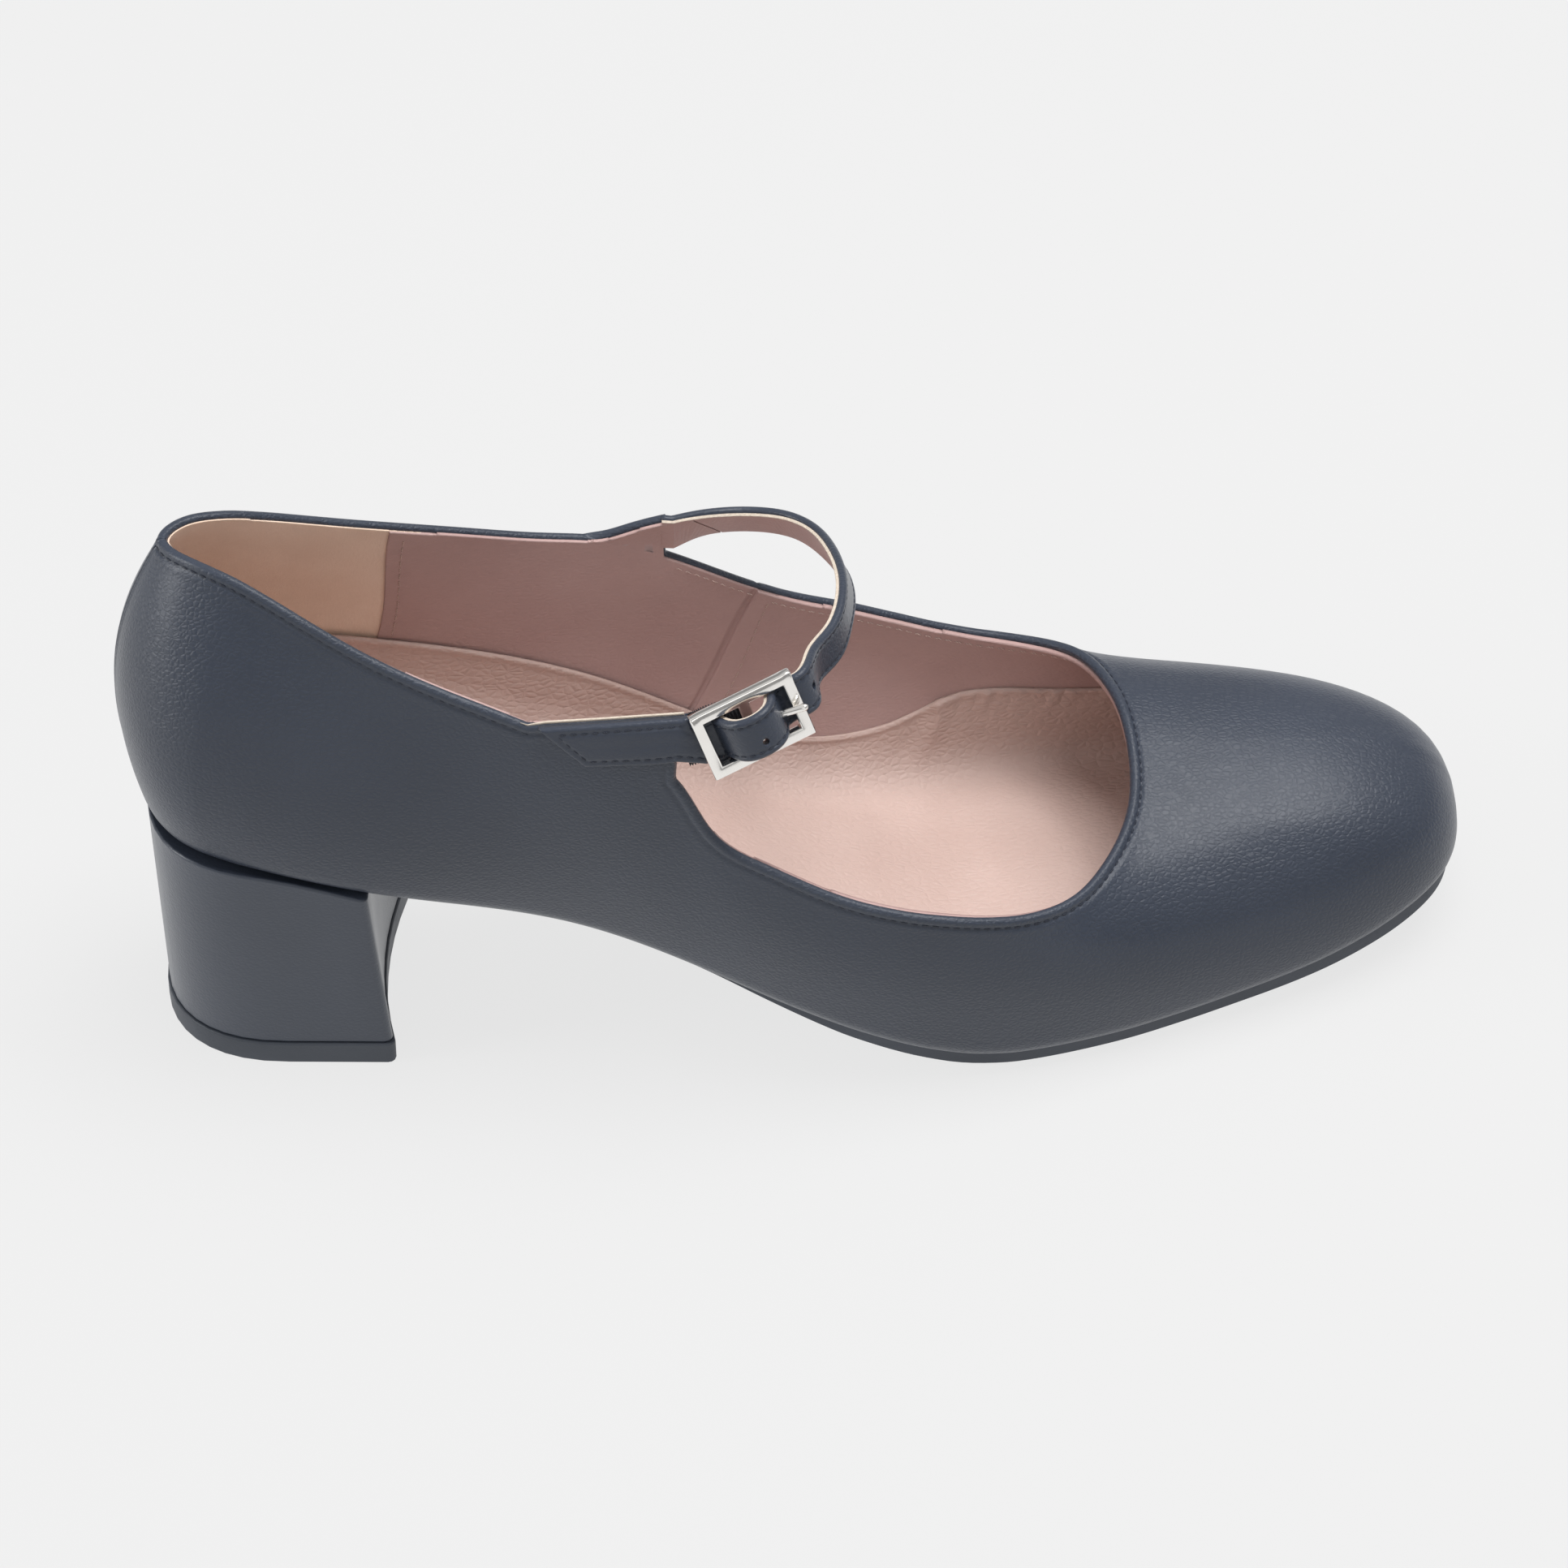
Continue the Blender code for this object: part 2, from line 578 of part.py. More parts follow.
def root_edge():
    """Start of the strap, just ahead of the top of its root's front edge, and the direction up that edge."""
    station = ROOT[0][0]
    low, high = flap(ROOT, np.array([station]), [0, 1])[0]
    behind = flap(ROOT, np.array([station + 0.2]), [0.5])[0, 0]
    up, ahead = unit(high - low), unit((low + high) / 2 - behind)
    inward = unit(np.cross(ahead, up))
    return high - up * STRAP_WIDTH / 2 + inward * UPPER_WALL / 2 + ahead * STRAP_GAP, up


def strap_route():
    """Rows of the strap: middle, and direction of its upper edge, from the root to its end in the buckle."""
    rows = np.array(STRAP)
    middles = place(rows)
    run = unit(np.gradient(middles, axis=0))
    side = unit(np.cross([0, 0, 1], run))
    lean = np.radians(rows[:, 3:4])
    upper = unit(np.cross(run, side)) * np.cos(lean) + side * np.sin(lean)
    first, first_up = root_edge()
    middles, upper = np.vstack([first, middles]), np.vstack([first_up, upper])
    centre, along, up, out = buckle_axes()
    under = BUCKLE_THICKNESS / 2 + BUCKLE_PLAY + STRAP_THICKNESS / 2
    bar = (BUCKLE_LENGTH - BUCKLE_BAR) / 2
    local = [(LEAD * bar, -under), (bar, -under)] + [(a * bar, o) for a, o in HUMP]
    ends = np.array([centre + along * a + out * o for a, o in local])
    middles = np.vstack([middles, ends])
    upper = np.vstack([upper, np.tile(up, (len(ends), 1))])
    return middles, upper


def strap_curve(steps):
    """Smooth strap: middles and directions of its upper edge."""
    middles, upper = strap_route()
    reach = np.concatenate([[0], np.cumsum(np.linalg.norm(np.diff(middles, axis=0), axis=1))])
    query = np.interp(np.arange((len(reach) - 1) * steps + 1) / steps, np.arange(len(reach)), reach)
    points = spline(reach, middles, query)
    run = unit(np.gradient(points, query, axis=0))
    across = spline(reach, upper, query)
    square = np.clip(query / (STRAP_SQUARE * STRAP_WIDTH), 0, 1)[:, None]
    across = unit(across - square * run * np.sum(across * run, axis=1, keepdims=True))
    return points, across


def make_strap():
    points, across = strap_curve(STRAP_STEPS)
    shares = np.linspace(-0.5, 0.5, 3)
    grid = points[:, None] + across[:, None] * shares[None, :, None] * STRAP_WIDTH
    bm = bmesh.new()
    add_grid(bm, grid)
    made = new_object("strap", bm, bpy.data.materials["leather"])
    thicken(made, STRAP_THICKNESS, 0)
    subtract(made, "prong_hole", prong_rod(PRONG_DIAMETER / 2 + 2 * GAP, *HOLE_SPAN))


def prong_ends():
    """Where the prong starts, beside the centre bar, and where its tip ends, on the front bar."""
    _, along, _, out = buckle_axes()
    first = BUCKLE_BAR / 2 + GAP + PRONG_DIAMETER / 2
    seat = BUCKLE_LENGTH / 2 - BUCKLE_BAR
    rest = BUCKLE_THICKNESS / 2 + GAP + PRONG_DIAMETER / 2
    climb = rest / (seat - first)
    tip = BUCKLE_LENGTH / 2
    return along * first, along * tip + out * climb * (tip - first)


def prong_rod(radius, start, end):
    """Rod on the prong's line between two distances from the buckle's middle."""
    centre, _, _, _ = buckle_axes()
    first, tip = prong_ends()
    line = unit(tip - first)
    low, high = (centre + first + line * (reach - first @ line) for reach in (start, end))
    bm = bmesh.new()
    bmesh.ops.create_cone(bm, cap_ends=True, segments=12, radius1=radius, radius2=radius,
                          depth=float(np.linalg.norm(high - low)))
    turn = Vector(line).to_track_quat("Z", "Y").to_matrix().to_4x4()
    bmesh.ops.transform(bm, matrix=Matrix.Translation(Vector((low + high) / 2)) @ turn, verts=bm.verts)
    return bm


def make_prong():
    start, tip = prong_ends()
    line = unit(tip - start)
    bm = prong_rod(PRONG_DIAMETER / 2, float(start @ line), float(tip @ line))
    new_object("buckle_prong", bm, bpy.data.materials["metal"])


def buckle_box(along, size):
    """Box square to the buckle, its middle at a distance along it."""
    centre, run, up, out = buckle_axes()
    basis = Matrix((Vector(run), Vector(up), Vector(out))).transposed().to_4x4()
    bm = bmesh.new()
    bmesh.ops.create_cube(bm, size=1)
    spot = Matrix.Translation(Vector(centre + run * along))
    bmesh.ops.transform(bm, matrix=spot @ basis @ Matrix.Diagonal((*size, 1)), verts=bm.verts)
    return bm


def make_buckle():
    """Frame with a centre bar: a plate with two windows, its edges rounded."""
    opening = STRAP_WIDTH + 2 * BUCKLE_PLAY
    plate = buckle_box(0, (BUCKLE_LENGTH, opening + 2 * BUCKLE_BAR, BUCKLE_THICKNESS))
    made = new_object("buckle_frame", plate, material("metal", (0.80, 0.74, 0.69), 0.15, 1.0))
    window = (BUCKLE_LENGTH - 3 * BUCKLE_BAR) / 2
    for side, name in ((-1, "rear_window"), (1, "front_window")):
        along = side * (window + BUCKLE_BAR) / 2
        subtract(made, name, buckle_box(along, (window, opening, 2 * BUCKLE_THICKNESS)))
    bevel = made.modifiers.new("Rounding", "BEVEL")
    bevel.width = BUCKLE_ROUNDING
    bevel.segments = 1
    bevel.limit_method = "ANGLE"


def make_tab():
    """Short strap on the outer quarter, following the wall and running on under the frame's rear bar."""
    down = np.linspace(0, STRAP_WIDTH, 5)
    first, last = EAR[0][0] + TAB_START, EAR[-1][0]
    grid = []
    for share in np.linspace(0, 1, 8):
        stations = first + share * (last - first) + (1 - share) * TAB_SLANT * down / STRAP_WIDTH
        grid.append([column_down(station, [d])[0] for station, d in zip(stations, down)])
    grid = np.array(grid)
    normal = unit(np.cross(np.gradient(grid, axis=1), np.gradient(grid, axis=0)))
    normal *= -np.sign(normal[..., 1:2])
    grid = grid + normal * (GAP + TAB_THICKNESS / 2)
    centre, along, up, out = buckle_axes()
    under = BUCKLE_THICKNESS / 2 + GAP + TAB_THICKNESS / 2
    for a in np.linspace(-BUCKLE_LENGTH / 2, TAB_SHARE * -BUCKLE_LENGTH / 2, 4):
        rows = centre + along * a - out * under + up * (STRAP_WIDTH / 2 - down)[:, None]
        grid = np.concatenate([grid, rows[None]], axis=0)
    bm = bmesh.new()
    add_grid(bm, grid)
    made = new_object("buckle_tab", bm, bpy.data.materials["leather"])
    thicken(made, TAB_THICKNESS, 0)


def make_elastic():
    """Elastic from the ear's front edge, under the end of the tab, to the inner side of the centre bar."""
    centre, along, up, out = buckle_axes()
    last = EAR[-1][0]
    edge = column_down(last, [STRAP_WIDTH / 2])[0] - centre
    front = np.max((flap(EAR, np.array([last]), [0, 0.5, 1])[0] - centre) @ along)
    bar = BUCKLE_THICKNESS / 2 + GAP + ELASTIC_THICKNESS / 2
    tab = bar + TAB_THICKNESS + 2 * GAP
    rows = np.array([
        (front + 2 * GAP, edge @ out - UPPER_WALL / 2),
        (ELASTIC_LEVEL[0] * BUCKLE_LENGTH, -tab),
        (ELASTIC_LEVEL[1] * BUCKLE_LENGTH, -tab),
        (0, -bar),
    ])
    path = spline(np.arange(4), rows, np.linspace(0, 3, 13))
    middle = centre + along * path[:, :1] + out * path[:, 1:]
    shares = np.linspace(-0.5, 0.5, 3) * ELASTIC_WIDTH
    bm = bmesh.new()
    add_grid(bm, middle[:, None] + up * shares[None, :, None])
    made = new_object("elastic", bm, material("elastic", (0.02, 0.02, 0.025), 0.8))
    thicken(made, ELASTIC_THICKNESS, 0)


def stand_on_origin():
    """Hang every piece on one empty, placed so that the middle of the shoe's footprint is at the origin."""
    bpy.context.view_layer.update()
    graph = bpy.context.evaluated_depsgraph_get()
    pieces = list(bpy.data.collections[COLLECTION].objects)
    corners = []
    for piece in pieces:
        shape = piece.evaluated_get(graph).to_mesh()
        points = np.empty(3 * len(shape.vertices))
        shape.vertices.foreach_get("co", points)
        corners += [points.reshape(-1, 3).min(axis=0), points.reshape(-1, 3).max(axis=0)]
    low, high = np.min(corners, axis=0), np.max(corners, axis=0)
    carrier = bpy.data.objects.new("shoe", None)
    carrier.location = (-(low[0] + high[0]) / 2, -(low[1] + high[1]) / 2, 0)
    bpy.data.collections[COLLECTION].objects.link(carrier)
    for piece in pieces + list(bpy.data.collections[CUTTERS].objects):
        piece.parent = carrier


def main():
    for old in list(bpy.data.objects):
        bpy.data.objects.remove(old, do_unlink=True)
    for name in (COLLECTION, CUTTERS):
        bpy.context.scene.collection.children.link(bpy.data.collections.new(name))
    make_upper()
    make_insole()
    make_outsole()
    make_heel()
    make_top_piece()
    make_buckle()
    make_prong()
    make_strap()
    make_tab()
    make_elastic()
    stand_on_origin()


main()
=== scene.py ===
"""Looks of the mary jane pump: leather, lining, stitching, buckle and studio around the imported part.

The form's values and functions are the ones that the solids are made from, so that each visible piece lies on
its solid. They use the last's own coordinates; OFFSET moves them to the part's frame.
"""
import math

import bmesh
import bpy
import numpy as np
from mathutils import Matrix, Vector
from mathutils.kdtree import KDTree


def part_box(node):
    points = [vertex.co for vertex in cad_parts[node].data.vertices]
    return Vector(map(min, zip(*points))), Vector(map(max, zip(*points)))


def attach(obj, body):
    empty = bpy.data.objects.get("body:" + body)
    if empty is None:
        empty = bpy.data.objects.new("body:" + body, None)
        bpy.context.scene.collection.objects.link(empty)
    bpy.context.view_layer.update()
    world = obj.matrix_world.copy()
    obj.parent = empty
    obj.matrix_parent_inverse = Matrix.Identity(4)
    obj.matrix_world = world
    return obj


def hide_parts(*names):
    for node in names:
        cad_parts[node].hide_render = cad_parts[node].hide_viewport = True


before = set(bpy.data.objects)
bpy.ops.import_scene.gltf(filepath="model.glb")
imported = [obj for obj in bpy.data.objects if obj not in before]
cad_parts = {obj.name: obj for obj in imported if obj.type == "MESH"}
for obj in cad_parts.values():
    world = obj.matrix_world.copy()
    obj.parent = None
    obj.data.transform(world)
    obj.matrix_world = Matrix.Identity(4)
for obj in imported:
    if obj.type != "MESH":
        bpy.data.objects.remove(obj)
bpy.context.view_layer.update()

MM = 0.001

# Driving sizes
LENGTH = 241 * MM             # back of the quarter to the tip of the toe
BALL_WIDTH = 76 * MM          # across the ball, over the upper
SEAT_HEIGHT = 49 * MM         # feather edge above the floor at the back
QUARTER_HEIGHT = 58 * MM      # topline above the feather edge at the back
TOE_SPRING = 10.5 * MM        # rise of the feather edge from the tread to the tip
UPPER_WALL = 2.0 * MM         # leather and lining
MARGIN = 7 * MM               # width of the upper turned in under the insole
FEATHER_RADIUS = 4 * MM       # rounding of the upper's lower edge
INSOLE_THICKNESS = 2.5 * MM
SOLE_THICKNESS = 3.0 * MM
TOP_PIECE_THICKNESS = 4.7 * MM
HEEL_LENGTH = 41.2 * MM       # back to breast, at the floor
HEEL_WIDTH = 42 * MM          # at the floor
HEEL_BACK = 6 * MM            # back of the heel ahead of the back of the quarter, at the floor
HEEL_SEAT_BACK = 5 * MM       # the same at the seat
HEEL_SEAT_FRONT = 44.5 * MM   # breast ahead of the back of the quarter, at the seat
HEEL_SEAT_WIDTH = 47 * MM
HEEL_PIVOT = 26 * MM          # where the heel's own axis crosses the shoe's
HEEL_SQUARE = 0.86            # 1 is an elliptical back, less is squarer
HEEL_ROUND = 0.55             # share of the heel's length that its curved back takes
HEEL_TURN = -5.4              # degrees from the shoe's length to the heel's own axis
BREAST_HOLLOW = 2.5 * MM      # depth of the curve across the breast, at the floor
BREAST_CORNER = 1.4 * MM      # rounding of the breast's two corners
TOP_PIECE_LIP = 0.4 * MM      # top piece beyond the heel all round
STRAP_WIDTH = 8.2 * MM
STRAP_THICKNESS = 1.8 * MM
STRAP_GAP = 1.2 * MM          # between the strap and its root on the upper
TAB_THICKNESS = 1.6 * MM
ELASTIC_WIDTH = 7.0 * MM
ELASTIC_THICKNESS = 1.0 * MM
BUCKLE_LENGTH = 19 * MM       # along the strap
BUCKLE_BAR = 2.1 * MM         # width of the frame's bars
BUCKLE_THICKNESS = 2.0 * MM
BUCKLE_PLAY = 0.3 * MM        # strap to the frame, each side
PRONG_DIAMETER = 1.4 * MM
GAP = 0.3 * MM                # between pieces that touch

TREAD = SOLE_THICKNESS + GAP  # feather edge above the floor at the ball

# Bottom of the last in side view. seat: share of the rise to SEAT_HEIGHT; spring: share of TOE_SPRING
PROFILE = [
    # along  seat   spring
    (0.00, 1.000, 0.00),
    (0.06, 0.998, 0.00),
    (0.09, 0.980, 0.00),
    (0.12, 0.945, 0.00),
    (0.15, 0.897, 0.00),
    (0.18, 0.842, 0.00),
    (0.24, 0.728, 0.00),
    (0.30, 0.608, 0.00),
    (0.36, 0.483, 0.00),
    (0.42, 0.355, 0.00),
    (0.48, 0.228, 0.00),
    (0.54, 0.115, 0.00),
    (0.58, 0.053, 0.00),
    (0.62, 0.012, 0.00),
    (0.65, 0.000, 0.00),
    (0.72, 0.000, 0.00),
    (0.77, 0.000, 0.05),
    (0.82, 0.000, 0.15),
    (0.87, 0.000, 0.30),
    (0.92, 0.000, 0.53),
    (0.96, 0.000, 0.77),
    (1.00, 0.000, 1.00),
]

# Feather edge, one row a rib, from the back by the outer side to the toe and back by the inner side.
# along, across: shares of LENGTH and BALL_WIDTH; lean: degrees that the wall starts outwards;
# belly, brow: how far the rib keeps its direction at its lower and upper end, shares of its height;
# fall: degrees below the level at which the wall leaves the topline
FEATHER = [
    # along   across  lean belly brow  fall
    (0.018,  0.026,   14, 0.44, 0.30,  60),
    (0.031, -0.150,   13, 0.44, 0.30,  62),
    (0.071, -0.270,   12, 0.42, 0.30,  68),
    (0.141, -0.322,    8, 0.40, 0.30,  74),
    (0.224, -0.308,   12, 0.40, 0.30,  80),
    (0.324, -0.282,   18, 0.40, 0.30,  84),
    (0.423, -0.345,   20, 0.40, 0.30,  86),
    (0.515, -0.432,   14, 0.45, 0.35,  82),
    (0.614, -0.470,    6, 0.45, 0.40,  78),
    (0.714, -0.425,    7, 0.37, 0.40,  58),
    (0.813, -0.335,    9, 0.32, 0.40,  32),
    (0.900, -0.245,    8, 0.30, 0.38,  17),
    (0.978, -0.089,    9, 0.32, 0.37,  10),
    (0.998,  0.118,   10, 0.36, 0.37,   8),
    (0.991,  0.277,    6, 0.34, 0.36,  10),
    (0.959,  0.408,    2, 0.31, 0.35,  15),
    (0.890,  0.494,    1, 0.33, 0.35,  36),
    (0.775,  0.519,    1, 0.35, 0.34,  61),
    (0.664,  0.512,    5, 0.40, 0.35,  79),
    (0.573,  0.455,    9, 0.45, 0.40,  78),
    (0.481,  0.375,   18, 0.40, 0.32,  84),
    (0.382,  0.312,   20, 0.40, 0.30,  84),
    (0.274,  0.296,   16, 0.40, 0.30,  80),
    (0.166,  0.320,   10, 0.40, 0.30,  74),
    (0.079,  0.280,   13, 0.42, 0.30,  68),
    (0.031,  0.180,   14, 0.44, 0.30,  62),
]
RIBS = len(FEATHER)

# Topline, without the ear under the buckle and the root of the strap. station: the rib's number;
# rise: share of QUARTER_HEIGHT above the bottom
TOPLINE = [
    # station along   across  rise
    (0.00, 0.0470,  0.020, 0.975),
    (1.00, 0.0650, -0.062, 0.985),
    (2.00, 0.1040, -0.140, 0.980),
    (3.00, 0.1680, -0.220, 0.910),
    (4.00, 0.2400, -0.290, 0.875),
    (4.667, 0.2950, -0.333, 0.870),
    (5.20, 0.3520, -0.362, 0.860),
    (5.667, 0.3980, -0.382, 0.840),
    (6.00, 0.4200, -0.402, 0.700),
    (6.50, 0.4600, -0.428, 0.630),
    (7.00, 0.5060, -0.455, 0.605),
    (8.00, 0.5980, -0.474, 0.610),
    (8.70, 0.6550, -0.430, 0.580),
    (10.0, 0.7080, -0.290, 0.570),
    (11.0, 0.7280, -0.180, 0.590),
    (12.0, 0.7390, -0.070, 0.615),
    (13.0, 0.7420,  0.050, 0.650),
    (14.0, 0.7390,  0.170, 0.680),
    (15.0, 0.7300,  0.285, 0.680),
    (16.0, 0.7140,  0.390, 0.665),
    (17.0, 0.6800,  0.470, 0.640),
    (18.0, 0.6220,  0.498, 0.670),
    (19.0, 0.5500,  0.474, 0.740),
    (20.0, 0.4770,  0.434, 0.790),
    (20.667, 0.4080, 0.385, 0.885),
    (21.333, 0.3480, 0.352, 0.905),
    (21.667, 0.3138, 0.3301, 0.8905),
    (22.0, 0.2760,  0.303, 0.886),
    (23.0, 0.1660,  0.210, 0.904),
    (24.0, 0.1010,  0.132, 0.960),
    (25.0, 0.0630,  0.085, 0.977),
]

# Upper edge of the ear that the buckle's tab lies on, and of the strap's root
EAR = [
    # station along   across  rise
    (4.667, 0.2950, -0.333, 0.870),
    (5.20, 0.3500, -0.345, 0.975),
    (5.667, 0.4080, -0.345, 1.075),
]
ROOT = [
    (20.667, 0.4080, 0.354, 1.062),
    (21.00, 0.3800, 0.355, 0.983),
    (21.17, 0.3637, 0.354, 0.935),
    (21.333, 0.3480, 0.352, 0.905),
]

# Middle of the instep strap between its root and the buckle. lean: degrees that its upper edge tips outwards
STRAP = [
    # along   across  rise   lean
    (0.4464, 0.415,  1.015, -27),
    (0.4701, 0.422,  1.046, -28),
    (0.5006, 0.383,  1.105, -26),
    (0.5195, 0.303,  1.153, -20),
    (0.5294, 0.193,  1.203, -20),
    (0.5314, 0.083,  1.237, -15),
    (0.5277, -0.012, 1.245,  -9),
    (0.5175, -0.107, 1.226,  -8),
    (0.4995, -0.214, 1.222,  -8),
]
STRAP_SQUARE = 1.5            # widths over which the strap's start turns square to its run

# Edge of the outsole inside the feather edge
SOLE_INSET = [
    # along  inset
    (0.18, 6.0 * MM),
    (0.30, 6.5 * MM),
    (0.42, 5.5 * MM),
    (0.52, 3.5 * MM),
    (0.60, 2.8 * MM),
    (1.00, 2.2 * MM),
]
SOLE_SLANT = 0.25             # share of LENGTH over which the slant of the outsole's rear end fades

# How the buckle lies
BAR_AHEAD = 3.0 * MM          # frame's rear bar ahead of the ear
BUCKLE_DROP = 2.0 * MM        # buckle's middle below the line of the tab
BUCKLE_HEADING = 16.0         # degrees from the shoe's length
BUCKLE_PITCH = 16.0           # degrees that its front is up
BUCKLE_LEAN = 18.0            # degrees that it faces up
ELASTIC_LEVEL = (-0.45, -0.30)    # shares of the buckle's length between which the elastic lies level
# Strap inside the buckle. share: of the way from the centre bar to the front bar; out: height
HUMP = [
    # share   out
    (0.62, -1.2 * MM),
    (0.50, 1.6 * MM),
    (0.30, 3.9 * MM),
    (0.00, 4.7 * MM),
    (-0.30, 3.9 * MM),
    (-0.50, 1.4 * MM),
    (-0.60, -1.2 * MM),
]
LEAD = 1.22                   # where the strap comes flat to the buckle, a share as above
TAB_START = 0.08              # stations from the ear's rear end to the tab's
TAB_SLANT = 0.30              # stations that the tab's cut rear end runs forward

FOOT_PULL = 15 * MM           # keeps each rib's top leaning towards its own side
NEAR_TOP = 0.97               # where on a rib its direction below the topline is taken
COLUMNS = 3                   # columns of faces for each rib


def spline(knots, values, query, period=None):
    """Cubic spline through rows of values: natural, or closed where a period is given."""
    x = np.asarray(knots, float)
    y = np.asarray(values, float)
    q = np.asarray(query, float)
    if period:
        q = np.mod(q - x[0], period) + x[0]
        x = np.append(x, x[0] + period)
        y = np.vstack([y, y[:1]])
    n = len(x)
    step = np.diff(x)
    slope = np.diff(y, axis=0) / step[:, None]
    system = np.eye(n)
    right = np.zeros_like(y)
    for i in range(1, n - 1):
        system[i, i - 1:i + 2] = step[i - 1], 2 * (step[i - 1] + step[i]), step[i]
        right[i] = 6 * (slope[i] - slope[i - 1])
    if period:
        system[0, :2] = 2 * (step[-1] + step[0]), step[0]
        system[0, n - 2] = step[-1]
        right[0] = 6 * (slope[0] - slope[-1])
        system[n - 1, 0] = -1
    bend = np.linalg.solve(system, right)
    i = np.clip(np.searchsorted(x, q, side="right") - 1, 0, n - 2)
    t = (q - x[i])[:, None]
    h = step[i][:, None]
    return (y[i] + t * (slope[i] - h * (2 * bend[i] + bend[i + 1]) / 6)
            + t ** 2 * bend[i] / 2 + t ** 3 * (bend[i + 1] - bend[i]) / (6 * h))


def smooth_table(knots, values, query):
    """Cubic through a table that never overshoots, so that a flat stretch stays flat."""
    x, y = np.asarray(knots, float), np.asarray(values, float)
    h = np.diff(x)
    d = np.diff(y) / h
    m = np.zeros_like(y)
    for i in range(1, len(x) - 1):
        if d[i - 1] * d[i] > 0:
            w1, w2 = 2 * h[i] + h[i - 1], h[i] + 2 * h[i - 1]
            m[i] = (w1 + w2) / (w1 / d[i - 1] + w2 / d[i])
    m[0], m[-1] = d[0], d[-1]
    q = np.clip(np.asarray(query, float), x[0], x[-1])
    i = np.clip(np.searchsorted(x, q, side="right") - 1, 0, len(x) - 2)
    t = (q - x[i]) / h[i]
    return ((1 + 2 * t) * (1 - t) ** 2 * y[i] + t * (1 - t) ** 2 * h[i] * m[i]
            + t ** 2 * (3 - 2 * t) * y[i + 1] + t ** 2 * (t - 1) * h[i] * m[i + 1])


def unit(v):
    return v / np.linalg.norm(v, axis=-1, keepdims=True)


def reach_of(points):
    """Distance along a polyline at each of its points."""
    return np.concatenate([[0], np.cumsum(np.linalg.norm(np.diff(points, axis=0), axis=1))])


def between_rows(query, knots, rows):
    """Straight interpolation in each column of a table."""
    return np.stack([np.interp(query, knots, rows[:, k]) for k in range(rows.shape[1])], -1)


def bottom(x):
    """Height of the feather edge at the distance x from the back."""
    rows = np.array(PROFILE)
    share = np.asarray(x) / LENGTH
    seat = smooth_table(rows[:, 0], rows[:, 1], share)
    spring = smooth_table(rows[:, 0], rows[:, 2], share)
    return TREAD + seat * (SEAT_HEIGHT - TREAD) + spring * TOE_SPRING


def bottom_up(x):
    """Direction at right angles to the bottom, in side view."""
    step = 0.5 * MM
    slope = (bottom(x + step) - bottom(x - step)) / (2 * step)
    return unit(np.stack([-slope, 0 * slope, 1 + 0 * slope], -1))


def place(rows):
    """Points from rows of along, across and rise."""
    x = rows[:, 0] * LENGTH
    return np.stack([x, rows[:, 1] * BALL_WIDTH, bottom(x) + rows[:, 2] * QUARTER_HEIGHT], -1)


def feather(s):
    """Feather edge at the stations s: points, outward direction and the ribs' numbers."""
    rows = np.array(FEATHER, float)
    step = 0.02
    table = spline(np.arange(RIBS), rows, s, RIBS)
    after = spline(np.arange(RIBS), rows, np.asarray(s) + step, RIBS)
    run = (after[:, :2] - table[:, :2]) * [LENGTH, BALL_WIDTH]
    out = unit(np.stack([run[:, 1], -run[:, 0], 0 * run[:, 0]], -1))
    x = table[:, 0] * LENGTH
    return np.stack([x, table[:, 1] * BALL_WIDTH, bottom(x)], -1), out, table


def topline(s):
    rows = np.array(TOPLINE)
    return place(spline(rows[:, 0], rows[:, 1:], s, RIBS))


def wall(s, t):
    """Outer face of the upper at stations s, from the rounded lower edge, t = 0, to the topline, t = 1."""
    edge, out, table = feather(s)
    top = topline(s)
    lean, fall = np.radians(table[:, 2:3]), np.radians(table[:, 5:6])
    rise = bottom_up(edge[:, 0]) * np.cos(lean) + out * np.sin(lean)
    start = edge + rise * FEATHER_RADIUS
    reach = unit((edge - top) * [1, 1, 0] + out * FOOT_PULL)
    leave = reach * np.cos(fall) - np.array([0, 0, 1]) * np.sin(fall)
    height = np.linalg.norm(top - start, axis=-1, keepdims=True)
    low, high = start + rise * height * table[:, 3:4], top + leave * height * table[:, 4:5]
    t = np.asarray(t, float)
    t = (t if t.ndim == 2 else t[None])[..., None]
    return ((1 - t) ** 3 * start[:, None] + 3 * t * (1 - t) ** 2 * low[:, None]
            + 3 * t ** 2 * (1 - t) * high[:, None] + t ** 3 * top[:, None])


def turned_edge(s, shares):
    """Rounded lower edge of the upper, from the margin under the foot, share 0, to the foot of the wall."""
    edge, out, table = feather(s)
    lean = np.radians(table[:, 2:3])
    rise = bottom_up(edge[:, 0]) * np.cos(lean) + out * np.sin(lean)
    under = edge - out * FEATHER_RADIUS
    under[:, 2] = bottom(under[:, 0])
    k = np.asarray(shares, float)[None, :, None]
    return ((1 - k) ** 2 * under[:, None] + 2 * k * (1 - k) * edge[:, None]
            + k ** 2 * (edge + rise * FEATHER_RADIUS)[:, None])


def part_offset():
    """Move from the last's coordinates to the part's frame, by the box of the upper's solid."""
    low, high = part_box("upper")
    grid = wall(np.arange(RIBS * COLUMNS) / COLUMNS, np.linspace(0, 1, 10)).reshape(-1, 3)
    return (np.array(low) + np.array(high) - grid.min(axis=0) - grid.max(axis=0)) / 2 * [1, 1, 0]


OFFSET = part_offset()


def margin(s, widths):
    """Part of the upper that lies under the insole, at each width from the feather edge."""
    edge, out, _ = feather(s)
    points = edge[:, None] - out[:, None] * np.asarray(widths)[None, :, None]
    points[..., 2] = bottom(points[..., 0])
    return points


